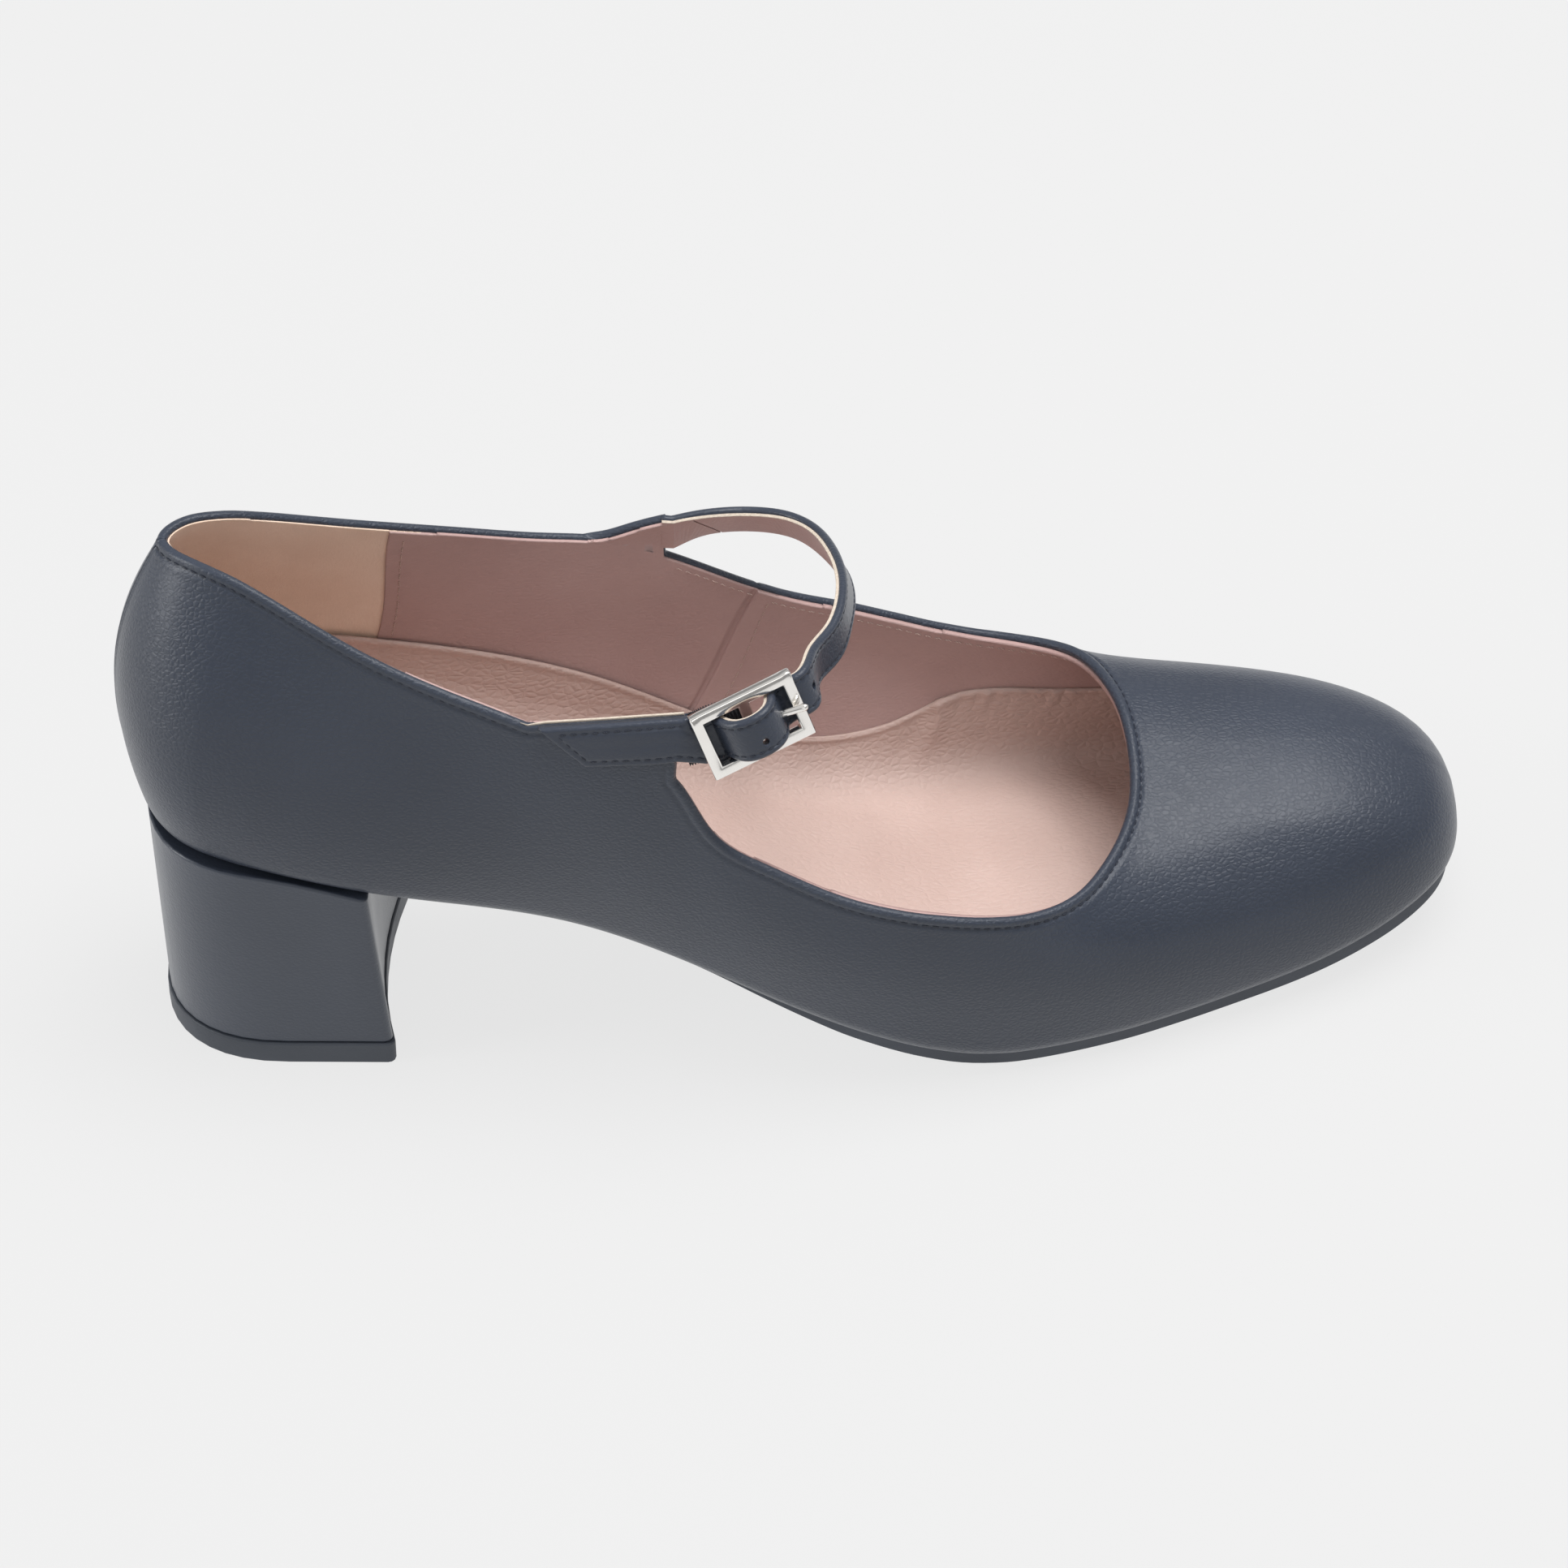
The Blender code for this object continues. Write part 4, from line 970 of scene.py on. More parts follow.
def sweep(path, side, up, profile):
    """Closed solid: a profile of (side, up) offsets carried along a path."""
    profile = np.asarray(profile)
    if profile.ndim == 2:
        profile = np.tile(profile, (len(path), 1, 1))
    points = path[:, None] + side[:, None] * profile[..., :1] + up[:, None] * profile[..., 1:]
    return points.reshape(-1, 3), tube_faces(*points.shape[:2])


def strap_profile():
    """Cross-section of the strap's leather: rounded edges, and a groove beside each for the stitching."""
    half = STRAP_WIDTH / 2
    edge = np.array(STRAP_COLUMNS) * MM
    across = np.concatenate([half - edge, edge[-2::-1] - half])
    e = half - np.abs(across)
    relief = STRAP_RELIEF * (bell(e, 0.75 * MM, 0.45 * MM) - 1.5 * bell(e, STRAP_SEAM, 0.22 * MM))
    draw = rounded(e, LEATHER)
    upper = list(zip(across, STRAP_TOP - draw + relief))
    under = list(zip(across, STRAP_TOP - LEATHER + draw))
    return np.array(upper + under[-2:0:-1])


def strap_frame(steps):
    """Dense strap from inside its root on: middles, directions across, along and outwards."""
    points, across = strap_curve(steps)
    points = np.vstack([root_edge(-STRAP_IN_ROOT)[0], root_edge(0)[0], points])
    across = np.vstack([across[:1], across[:1], across])
    run = unit(np.gradient(points, axis=0))
    return points, unit(across), run, unit(np.cross(run, across))


def make_strap_pieces(leather, lining_looks, thread):
    points, across, run, out = strap_frame(10)
    centre = points.mean(axis=0)
    if np.sum(out[:len(out) // 2] * (points[:len(out) // 2] - centre)) < 0:
        out = -out
    outer_points, outer_faces = sweep(points, across, out, strap_profile())
    strap = new_piece("strap_leather", outer_points, outer_faces, [leather], ["strap"])
    edge = STRAP_WIDTH / 2 - STRAP_LINING_INSET
    high = STRAP_TOP - LEATHER + 0.2 * MM
    low = STRAP_TOP - LEATHER - STRAP_LINING
    corner = 0.08 * MM
    low_profile = [(edge, high), (edge, low + corner), (edge - corner, low),
                   (corner - edge, low), (-edge, low + corner), (-edge, high)]
    inner_points, inner_faces = sweep(points, across, out, np.array(low_profile))
    lining = new_piece("strap_lining", inner_points, inner_faces, lining_looks, smooth=False)
    count = len(low_profile)
    for face in lining.data.polygons:
        inner = face.vertices[0] % count == 2 or len(face.vertices) > 4
        face.material_index = 0 if inner else 1
    inset = STRAP_WIDTH / 2 - STRAP_SEAM
    points_seen, across_seen, out_seen = points[2:], across[2:], out[2:]
    face = points_seen + out_seen * (STRAP_TOP - STITCH_SUNK)
    runs = [(face + across_seen * inset * side, out_seen) for side in (-1, 1)]
    stitch_piece("strap_stitches", runs, [thread], length=1.2 * MM)
    return strap, lining, (points, across, run, out)


def cut_lining_joint(piece, rows):
    """Slanting joint across the strap's lining, open down to the leather."""
    ahead, width, lean = LINING_JOINT
    points, across, run, out = rows
    reach = reach_of(points)
    i = np.argmin(np.abs(reach - STRAP_GAP - STRAP_IN_ROOT - ahead))
    way = unit(across[i] - run[i] * lean)
    side = unit(np.cross(way, out[i]))
    ends = points[i] + way * STRAP_WIDTH * np.array([[-0.7], [0.7]])
    low, high = -2 * MM, STRAP_TOP - LEATHER - 0.02 * MM
    profile = [(width / 2, low), (width / 2, high), (-width / 2, high), (-width / 2, low)]
    verts, faces = sweep(ends, np.tile(side, (2, 1)), np.tile(out[i], (2, 1)), profile)
    cut_away([piece], closed_mesh("joint", verts, faces))


def cut_away(pieces, mesh):
    """Take a closed mesh out of the pieces."""
    punch = bpy.data.objects.new("punch", mesh)
    bpy.context.scene.collection.objects.link(punch)
    for piece in pieces:
        cut = piece.modifiers.new("Cut", "BOOLEAN")
        cut.operation = "DIFFERENCE"
        cut.solver = "EXACT"
        cut.object = punch
        apply_modifiers(piece)
    bpy.data.objects.remove(punch)


def holes(pieces, spots, radius):
    """Round holes through pieces at points with directions."""
    bm = bmesh.new()
    for spot, direction in spots:
        turn = Vector(direction).to_track_quat("Z", "Y").to_matrix().to_4x4()
        bmesh.ops.create_cone(bm, cap_ends=True, segments=20, radius1=radius, radius2=radius, depth=4 * MM,
                              matrix=Matrix.Translation(Vector(spot + OFFSET)) @ turn)
    mesh = bpy.data.meshes.new("punch")
    bm.to_mesh(mesh)
    bm.free()
    cut_away(pieces, mesh)


def apply_modifiers(piece):
    """Make the piece's modifiers part of its mesh."""
    bpy.context.view_layer.update()
    graph = bpy.context.evaluated_depsgraph_get()
    mesh = bpy.data.meshes.new_from_object(piece.evaluated_get(graph))
    piece.modifiers.clear()
    piece.data = mesh


def bevelled(piece, width, segments=3, angle=40):
    modifier = piece.modifiers.new("Rounding", "BEVEL")
    modifier.width = width
    modifier.segments = segments
    modifier.limit_method = "ANGLE"
    modifier.angle_limit = math.radians(angle)
    modifier.harden_normals = True
    apply_modifiers(piece)
    piece.data.shade_smooth()


def plate(centre, axes, xs, ys, windows, thickness):
    """Flat plate on a grid of lines, without the cells in windows: points and faces."""
    along, up, out = axes
    verts = [centre + along * x + up * y + out * z
             for z in (-thickness / 2, thickness / 2) for x in xs for y in ys]
    m, n = len(xs), len(ys)
    cells = {(i, j) for i in range(m - 1) for j in range(n - 1)} - set(windows)

    def number(i, j, layer):
        return layer * m * n + i * n + j
    faces = []
    for i, j in sorted(cells):
        corners = [(i, j), (i + 1, j), (i + 1, j + 1), (i, j + 1)]
        faces.append(tuple(number(a, b, 1) for a, b in corners))
        faces.append(tuple(number(a, b, 0) for a, b in reversed(corners)))
        for k, step in enumerate([(0, -1), (1, 0), (0, 1), (-1, 0)]):
            if (i + step[0], j + step[1]) not in cells:
                a, b = corners[k], corners[(k + 1) % 4]
                faces.append((number(*b, 1), number(*a, 1), number(*a, 0), number(*b, 0)))
    return np.array(verts), faces


def make_buckle_frame(metal):
    centre, along, up, out = buckle_axes()
    half, bar = BUCKLE_LENGTH / 2, BUCKLE_BAR
    high = STRAP_WIDTH / 2 + BUCKLE_PLAY
    xs = [-half, -half + bar, -bar / 2, bar / 2, half - bar, half]
    ys = [-high - bar, -high, high, high + bar]
    verts, faces = plate(centre, (along, up, out), xs, ys, [(1, 1), (3, 1)], BUCKLE_THICKNESS)
    bars = new_piece("buckle_polished_frame", verts, faces, [metal], ["buckle_frame"], smooth=False)
    bevelled(bars, 0.38 * MM, 4, 30)


def make_prong(metal):
    """Prong with its loop round the centre bar and its rounded tip on the front bar."""
    centre, along, up, out = buckle_axes()
    start, tip = prong_ends()
    line = unit(tip - start)
    rise = unit(np.cross(up, line))
    if rise @ out < 0:
        rise = -rise
    loop_radius = BUCKLE_BAR / 2 + PRONG_DIAMETER / 2 + 0.1 * MM
    path = [centre + (along * math.cos(a) + out * math.sin(a)) * loop_radius
            for a in np.radians(np.linspace(-200, -25, 14))]
    length = np.linalg.norm(tip - start)
    path += [centre + start + line * d for d in np.linspace(0.5 * MM, length - 0.4 * MM, 14)]
    path += [centre + tip - rise * 0.10 * MM, centre + tip + line * 0.15 * MM - rise * 0.35 * MM]
    path = np.array(path)
    size = np.full(len(path), PRONG_DIAMETER / 2)
    size[-1], size[-2] = 0.25 * size[-1], 0.8 * size[-2]
    size[0] = 0.5 * size[0]
    run = unit(np.gradient(path, axis=0))
    side = np.tile(up, (len(path), 1))
    over = unit(np.cross(run, side))
    angles = np.arange(16) * 2 * math.pi / 16
    profile = size[:, None, None] * np.stack([np.cos(angles), np.sin(angles)], -1)[None]
    verts, faces = sweep(path, side, over, profile)
    new_piece("buckle_polished_prong", verts, faces, [metal], ["buckle_prong"])


def tab_path():
    """Grid of the tab's middle surface, rows along it and columns down it, with outward normals."""
    down = np.linspace(0, STRAP_WIDTH, 13)
    first, last = EAR[0][0] + TAB_START, EAR[-1][0]
    grid = []
    for share in np.linspace(0, 1, 22):
        stations = first + share * (last - first) + (1 - share) * TAB_SLANT * down / STRAP_WIDTH
        grid.append([column_down(station, [d])[0] for station, d in zip(stations, down)])
    grid = np.array(grid)
    normal = unit(np.cross(np.gradient(grid, axis=1), np.gradient(grid, axis=0)))
    normal *= -np.sign(normal[..., 1:2])
    grid = grid + normal * (GAP + TAB_THICKNESS / 2)
    centre, along, up, out = buckle_axes()
    under = BUCKLE_THICKNESS / 2 + GAP + TAB_THICKNESS / 2
    share, flare = TAB_TONGUE
    for k, a in enumerate(np.linspace(-BUCKLE_LENGTH / 2, share * -BUCKLE_LENGTH / 2, 6)):
        wider = down * (1 + flare / STRAP_WIDTH * min(k / 3, 1))
        rows = centre + along * a - out * under + up * (STRAP_WIDTH / 2 - wider)[:, None]
        grid = np.concatenate([grid, rows[None]], axis=0)
        normal = np.concatenate([normal, np.tile(out, (1, len(down), 1))], axis=0)
    return resample(grid, 70), resample(normal, 70)


def resample(grid, rows):
    """Smooth the rows of a grid into more rows."""
    knots = np.arange(len(grid))
    query = np.linspace(0, len(grid) - 1, rows)
    flat = spline(knots, grid.reshape(len(grid), -1), query)
    return flat.reshape(rows, *grid.shape[1:])


def finer_columns(grid):
    """Grid with twice as many columns."""
    count = grid.shape[1]
    fine, coarse = np.linspace(0, 1, 2 * count + 1), np.linspace(0, 1, count)
    return np.stack([between_rows(fine, coarse, row) for row in grid])


def make_tab_pieces(leather, thread):
    grid, normal = tab_path()
    grid, normal = finer_columns(grid), unit(finer_columns(unit(normal)))
    rows, count = grid.shape[:2]
    points, normals = grid.reshape(-1, 3), normal.reshape(-1, 3)
    index = np.arange(rows * count).reshape(rows, count)
    faces = [(index[i, j], index[i, j + 1], index[i + 1, j + 1], index[i + 1, j])
             for i in range(rows - 1) for j in range(count - 1)]
    edge = distance_to(points, [grid[:, 0], grid[:, -1], grid[0]])
    half = TAB_THICKNESS / 2
    e = edge / MM
    relief = (0.10 * bell(e, 2.4, 1.3) - 0.16 * bell(e, 1.25, 0.28)) * MM
    outer = -half + rounded(edge, 0.9 * MM) - relief
    inner = np.full(len(points), half)
    shell_points, shell_faces, _ = shell(points, faces, outer, inner, normals)
    new_piece("tab_leather", shell_points, shell_faces, [leather], ["buckle_tab"])
    inset = STRAP_SEAM / STRAP_WIDTH
    rear = 5
    share = np.arange(count) / (count - 1)
    inner = (share > inset) & (share < 1 - inset)
    seams = [(grid_line(grid, s)[rear:], grid_line(normal, s)[rear:]) for s in (inset, 1 - inset)]
    seams.append((grid[rear, inner], normal[rear, inner]))
    runs = [(line + out * (half - STITCH_SUNK), out) for line, out in seams]
    stitch_piece("tab_stitches", runs, [thread], length=1.3 * MM)


def grid_line(grid, share):
    """Line along a grid at a share of its width."""
    spot = share * (grid.shape[1] - 1)
    j = int(spot)
    return grid[:, j] * (1 - spot + j) + grid[:, j + 1] * (spot - j)


def make_ear_edge(look):
    """Raw upper edge of the ear's lining, which stands above the tab from its rear corner to the buckle."""
    s = np.linspace(EAR[0][0] - 0.05, EAR[-1][0] - 0.02, 60)
    line = np.array([column_down(x, [0.0])[0] if x > EAR[0][0] else topline(np.array([x]))[0] for x in s])
    run = unit(np.gradient(line, axis=0))
    out = unit(np.cross(run, [0, 0, 1]))
    up = unit(np.cross(out, run))
    profile = [(-0.30, -0.8), (-0.26, 0.10), (-0.32, 0.22), (-0.66, 0.22), (-0.72, 0.10), (-0.72, -0.8)]
    taper = np.clip(np.arange(len(line)) / 10, 0.1, 1)[:, None, None]
    verts, faces = sweep(line, out, up, taper * np.array(profile) * MM)
    new_piece("ear_lining_edge", verts, faces, [look])


def make_elastic_band(look):
    """Ribbed elastic on its solid's path."""
    centre, along, up, out = buckle_axes()
    last = EAR[-1][0]
    edge = column_down(last, [STRAP_WIDTH / 2])[0] - centre
    front = np.max((flap(EAR, np.array([last]), [0, 0.5, 1])[0] - centre) @ along)
    bar = BUCKLE_THICKNESS / 2 + GAP + ELASTIC_THICKNESS / 2
    tab = bar + TAB_THICKNESS + 2 * GAP
    rows = np.array([
        (front - 3 * MM, edge @ out - UPPER_WALL / 2 - 1.2 * MM),
        (front + 2 * GAP, edge @ out - UPPER_WALL / 2),
        (ELASTIC_LEVEL[0] * BUCKLE_LENGTH, -tab),
        (ELASTIC_LEVEL[1] * BUCKLE_LENGTH, -tab),
        (0, -bar),
    ])
    steps = 240
    path = spline(np.arange(5), rows, np.linspace(0, 4, steps))
    middle = centre + along * path[:, :1] + out * path[:, 1:]
    run = unit(np.gradient(middle, axis=0))
    side = np.tile(up, (steps, 1))
    over = unit(np.cross(side, run))
    rib = 0.5 + 0.5 * np.cos(np.arange(steps) * 2 * math.pi / 6)
    half, thick = ELASTIC_WIDTH / 2 + ELASTIC_SPREAD, ELASTIC_THICKNESS / 2
    profile = []
    for r in rib:
        t, w = thick - 0.22 * MM * (1 - r), half + 0.25 * MM * r
        bulge = w + 0.05 * MM
        profile.append([(w, -t), (bulge, 0), (w, t), (0, t), (-w, t), (-bulge, 0), (-w, -t), (0, -t)])
    verts, faces = sweep(middle, side, over, np.array(profile))
    new_piece("elastic_band", verts, faces, [look], ["elastic"])


def outline_rows(inset, rows, start):
    """Both edges of the feather outline moved in by an inset, at shares of the length from the start."""
    stations = np.linspace(0, RIBS, 60 * RIBS, endpoint=False)
    edge, out, _ = feather(stations)
    table = np.array(inset)
    points = edge - out * np.interp(edge[:, 0] / LENGTH, table[:, 0], table[:, 1])[:, None]
    tip, back = np.argmax(points[:, 0]), np.argmin(points[:, 0])
    points = np.roll(points, -back, axis=0)
    tip = (tip - back) % len(points)
    outer, inner = points[:tip + 1], points[tip:][::-1]
    low, high = max(start, points[:, 0].min()), points[tip, 0]
    x = low + (high - low) * rows
    inner = np.vstack([inner, outer[:1]]) if inner[-1, 0] > outer[0, 0] else inner
    order = np.argsort(inner[:, 0])
    return x, np.interp(x, outer[:, 0], outer[:, 1]), np.interp(x, inner[order, 0], inner[order, 1])


def sheet(x, left, right, height, skew, share):
    """Grid between two edges at the bottom's own height plus a distance."""
    y = left[:, None] + (right - left)[:, None] * share
    grid_x = x[:, None] + y * skew[:, None]
    return np.stack([grid_x, y, bottom(grid_x) + height], -1)


def cosine_rows(count, both=True):
    turn = np.linspace(0, 1, count)
    return 0.5 - 0.5 * np.cos(math.pi * turn) if both else np.sin(0.5 * math.pi * turn)


def grid_mesh(grid):
    """Points and faces of a grid, its equal neighbours made one."""
    rows, count = grid.shape[:2]
    index = np.arange(rows * count).reshape(rows, count)
    faces = [(index[i, j], index[i + 1, j], index[i + 1, j + 1], index[i, j + 1])
             for i in range(rows - 1) for j in range(count - 1)]
    return grid.reshape(-1, 3), faces


def sock_sides(count):
    """Stations of both ends of the sock's rows, from the back to the toe, by the inset outline."""
    stations = np.linspace(0, RIBS, 60 * RIBS, endpoint=False)
    edge, out, _ = feather(stations)
    along = (edge - out * (SOCK_INSET + SOCK_BEND))[:, 0]
    back, tip = np.argmin(along), np.argmax(along)
    order = np.roll(np.arange(len(stations)), -back)
    turned, places = np.roll(along, -back), stations[order] + np.where(order < back, RIBS, 0)
    tip = (tip - back) % len(stations)
    x = turned[0] + (turned[tip] - turned[0]) * cosine_rows(count)
    outer = np.interp(x, turned[:tip + 1], places[:tip + 1])
    inner = np.interp(x, turned[tip:][::-1], places[tip:][::-1])
    inner[0], outer[0] = places[0] + RIBS, places[0]
    inner[-1] = outer[-1] = places[tip]
    return outer, inner


def sock_column(stations, level):
    """Sock from its sewn edge down the wall and round onto the flat, for each station."""
    up_count, bend_count, _ = SOCK_COLUMNS
    edge, out, _ = feather(stations)
    flat = edge - out * (SOCK_INSET + SOCK_BEND)
    flat[:, 2] = bottom(flat[:, 0]) + level
    corner = edge - out * SOCK_INSET
    corner[:, 2] = bottom(corner[:, 0]) + level
    table = np.array(SOCK_RISE)
    rise = spline(table[:, 0], table[:, 1:], np.mod(stations, RIBS), RIBS)[:, 0]
    steps = np.linspace(0, 1, 81)
    line = wall(stations, steps)
    ahead, behind = wall(stations + 0.02, steps), wall(stations - 0.02, steps)
    normal = unit(np.cross(np.gradient(line, axis=1), ahead - behind))
    normal *= np.sign(np.sum(normal * out[:, None], axis=2, keepdims=True))
    inside = line - normal * (LEATHER + LINING + LAP + SOCK_ON_WALL)
    columns = []
    for i in range(len(stations)):
        height = inside[i, :, 2] - corner[i, 2]
        first = np.argmax(height > 0)
        height = np.maximum.accumulate(height[first:])
        low = min(SOCK_BEND, 0.8 * rise[i])
        wanted = np.linspace(rise[i], low, up_count)
        up = between_rows(wanted, height, inside[i, first:])
        share = np.linspace(0, 1, bend_count + 1)[1:, None]
        bend = (1 - share) ** 2 * up[-1] + 2 * share * (1 - share) * corner[i] + share ** 2 * flat[i]
        columns.append(np.vstack([up, bend]))
    return np.array(columns)


def sock_relief(grid, reach, stations, flat):
    """Waves of the flat, gathers and one fold below the sewn edge on the inner side, and the edge's ridge."""
    station = np.mod(stations, RIBS)
    gathered = np.clip((station - 16.6) / 0.5, 0, 1) * np.clip((18.75 - station) / 0.35, 0, 1)
    run = grid[..., 0] * 1000 + grid[..., 1] * 250
    uneven = 0.55 + 0.45 * np.sin(run * 0.83 + 1.0) * np.sin(run * 0.31)
    fade = np.exp(-((reach / MM) / 6.5) ** 2) * np.clip(reach / (0.5 * MM), 0, 1)
    pucker = 0.4 + np.sin(2 * math.pi * (run + 0.25 * reach / MM) / 3.2)
    gathers = 0.34 * gathered * fade * uneven * pucker
    middle = 18.42 + 0.030 * reach / MM
    fold = 0.75 * bell(station, middle, 0.13) - 0.28 * bell(station, middle + 0.27, 0.12)
    fold = fold * np.exp(-((reach / MM - 3) / 6) ** 2)
    ridge = 0.30 * bell(reach / MM, 0.7, 0.55)
    waves = 0.22 * np.sin(grid[..., 0] * 1000 / 9.0) * np.sin(grid[..., 1] * 1000 / 13.0) * flat
    return (gathers + fold + ridge + waves) * MM


def make_sock(looks):
    """Insole with its cover, whose edge stands up the wall and is sewn to the lining there."""
    level = UPPER_WALL + 2 * GAP + INSOLE_THICKNESS
    outer, inner = sock_sides(360)
    left, right = sock_column(outer, level), sock_column(inner, level)
    up_count, bend_count, across = SOCK_COLUMNS
    share = np.linspace(0, 1, across + 2)[1:-1, None]
    middle = left[:, -1, None] * (1 - share) + right[:, -1, None] * share
    middle[..., 2] = bottom(middle[..., 0]) + level
    grid = np.concatenate([left, middle, right[:, ::-1]], axis=1)
    rows, count = grid.shape[:2]
    side = up_count + bend_count
    steps = np.linalg.norm(np.diff(grid, axis=1), axis=2)
    from_left = np.concatenate([np.zeros((rows, 1)), np.cumsum(steps, axis=1)], axis=1)
    reach = np.minimum(from_left, from_left[:, -1:] - from_left)
    column = np.arange(count)
    stations = np.where(column[None] < count / 2, outer[:, None], inner[:, None])
    depth = np.minimum(column, count - 1 - column)
    flat = np.clip((depth - side + 3) / 8, 0, 1)[None]
    points, faces = grid_mesh(grid)
    normals = point_normals(points, faces)
    if normals[:, 2].mean() < 0:
        normals = -normals
    relief = sock_relief(grid, reach, stations, flat).ravel()
    thick = np.interp(depth, [up_count, side], [SOCK_ON_WALL, INSOLE_THICKNESS])
    thick = np.tile(thick, rows)
    shell_points, shell_faces, _ = shell(points, faces, -relief, thick, normals)
    new_piece("sock", shell_points, shell_faces, looks, ["insole"], weld=0.01 * MM)


def make_sole(looks):
    under = HEEL_PIVOT + (HEEL_SEAT_FRONT - HEEL_PIVOT) / math.cos(math.radians(HEEL_TURN))
    slope = float(bottom(under) - bottom(under + MM)) / MM
    start = under + 2 * GAP + SOLE_THICKNESS * slope
    x, left, right = outline_rows(SOLE_INSET, cosine_rows(130, False), start)
    slant = math.tan(math.radians(-HEEL_TURN)) * np.clip(1 - (x - start) / (SOLE_SLANT * LENGTH), 0, 1)
    grid = sheet(x, left, right, -GAP, slant, cosine_rows(25))
    points, faces = grid_mesh(grid)
    made = new_piece("sole", points, faces, looks, ["outsole"], weld=0.02 * MM)
    if sum(f.normal.z for f in made.data.polygons) < 0:
        made.data.flip_normals()
    modifier = made.modifiers.new("Thickness", "SOLIDIFY")
    modifier.thickness = SOLE_THICKNESS
    modifier.offset = -1
    modifier.use_even_offset = True
    apply_modifiers(made)
    bevelled(made, 0.35 * MM, 3, 50)


def make_heel_pieces(cover, rubber):
    floor = TOP_PIECE_THICKNESS + 0.05 * MM
    rings = []
    for level in np.linspace(0, 1, 25):
        ring = heel_ring(level, 0)
        top = bottom(ring[:, 0]) - 0.05 * MM
        rings.append(np.column_stack([ring, floor + level * (top - floor)]))
    points, faces = np.concatenate(rings), tube_faces(len(rings), len(ring))
    heel = new_piece("heel_cover", points, faces, [cover], ["heel"])
    bevelled(heel, 0.55 * MM, 4, 50)
    rings = []
    for height in (0, TOP_PIECE_THICKNESS):
        ring = heel_ring(0, TOP_PIECE_LIP)
        rings.append(np.column_stack([ring, np.full(len(ring), height)]))
    points, faces = np.concatenate(rings), tube_faces(len(rings), len(ring))
    piece = new_piece("top_piece", points, faces, [rubber], ["heel_top_piece"])
    bevelled(piece, 0.4 * MM, 3, 50)


def lining_stitches(looks):
    """Stitching on the lining: beside the lapped seam, by the heel grip's edge and below the raw edge."""
    inward = -(LEATHER + LINING + 0.05 * MM)
    runs = []
    depth = np.linspace(2.5, 34, 14)
    seam = [(slanted(SIDE_SEAM - 0.115, d * MM), d) for d in depth]
    runs.append(skin_run(seam, inward - LAP, 300))
    for edge, step in ((GRIP_EDGE[1], -0.10), (GRIP_EDGE[0], 0.10)):
        depth = np.linspace(2.5, 36, 12)
        runs.append(skin_run([(slanted(edge + step, d * MM), d) for d in depth], inward, 300))
    throat = [(s, LINING_SEAM) for s in np.linspace(OUTER_LAP + 0.05, SIDE_SEAM - 0.06, 60)]
    runs.append(skin_run(throat, inward - LAP, 1200))
    behind = [(s, LINING_SEAM) for s in np.linspace(SIDE_SEAM + 0.05, ROOT[0][0] - 0.05, 8)]
    runs.append(skin_run(behind, inward, 100))
    stitch_piece("lining_stitches", runs, looks, length=1.3 * MM, gap=0.7 * MM, radius=0.14 * MM)


def punch_strap(pieces, rows):
    """Holes of the strap: the prong's, one ahead of the buckle and one on the arch."""
    points, across, _, out = rows
    centre, along, _, outward = buckle_axes()
    reach = reach_of(points)
    spots = []
    local = points - centre
    front = np.argmin(np.abs(local @ along - 0.62 * BUCKLE_LENGTH) + 10 * (reach < 0.5 * reach[-1]))
    spots.append((points[front], out[front]))
    low = np.argmin(np.linalg.norm(local - outward * 4.7 * MM - along * 0.5 * MM, axis=1))
    spots.append((points[low] - across[low] * 1.2 * MM, out[low]))
    prong_first, prong_tip = prong_ends()
    middle = centre + (prong_first + prong_tip) / 2 * 0.86
    spots.append((middle, unit(prong_tip - prong_first)))
    holes(pieces, spots, 0.62 * MM)


def set_stops(elements, stops):
    """Places and colours of a colour ramp."""
    while len(elements) < len(stops):
        elements.new(0.5)
    for element, (at, colour) in zip(elements, stops):
        element.position = at
        element.color = (*colour, 1)


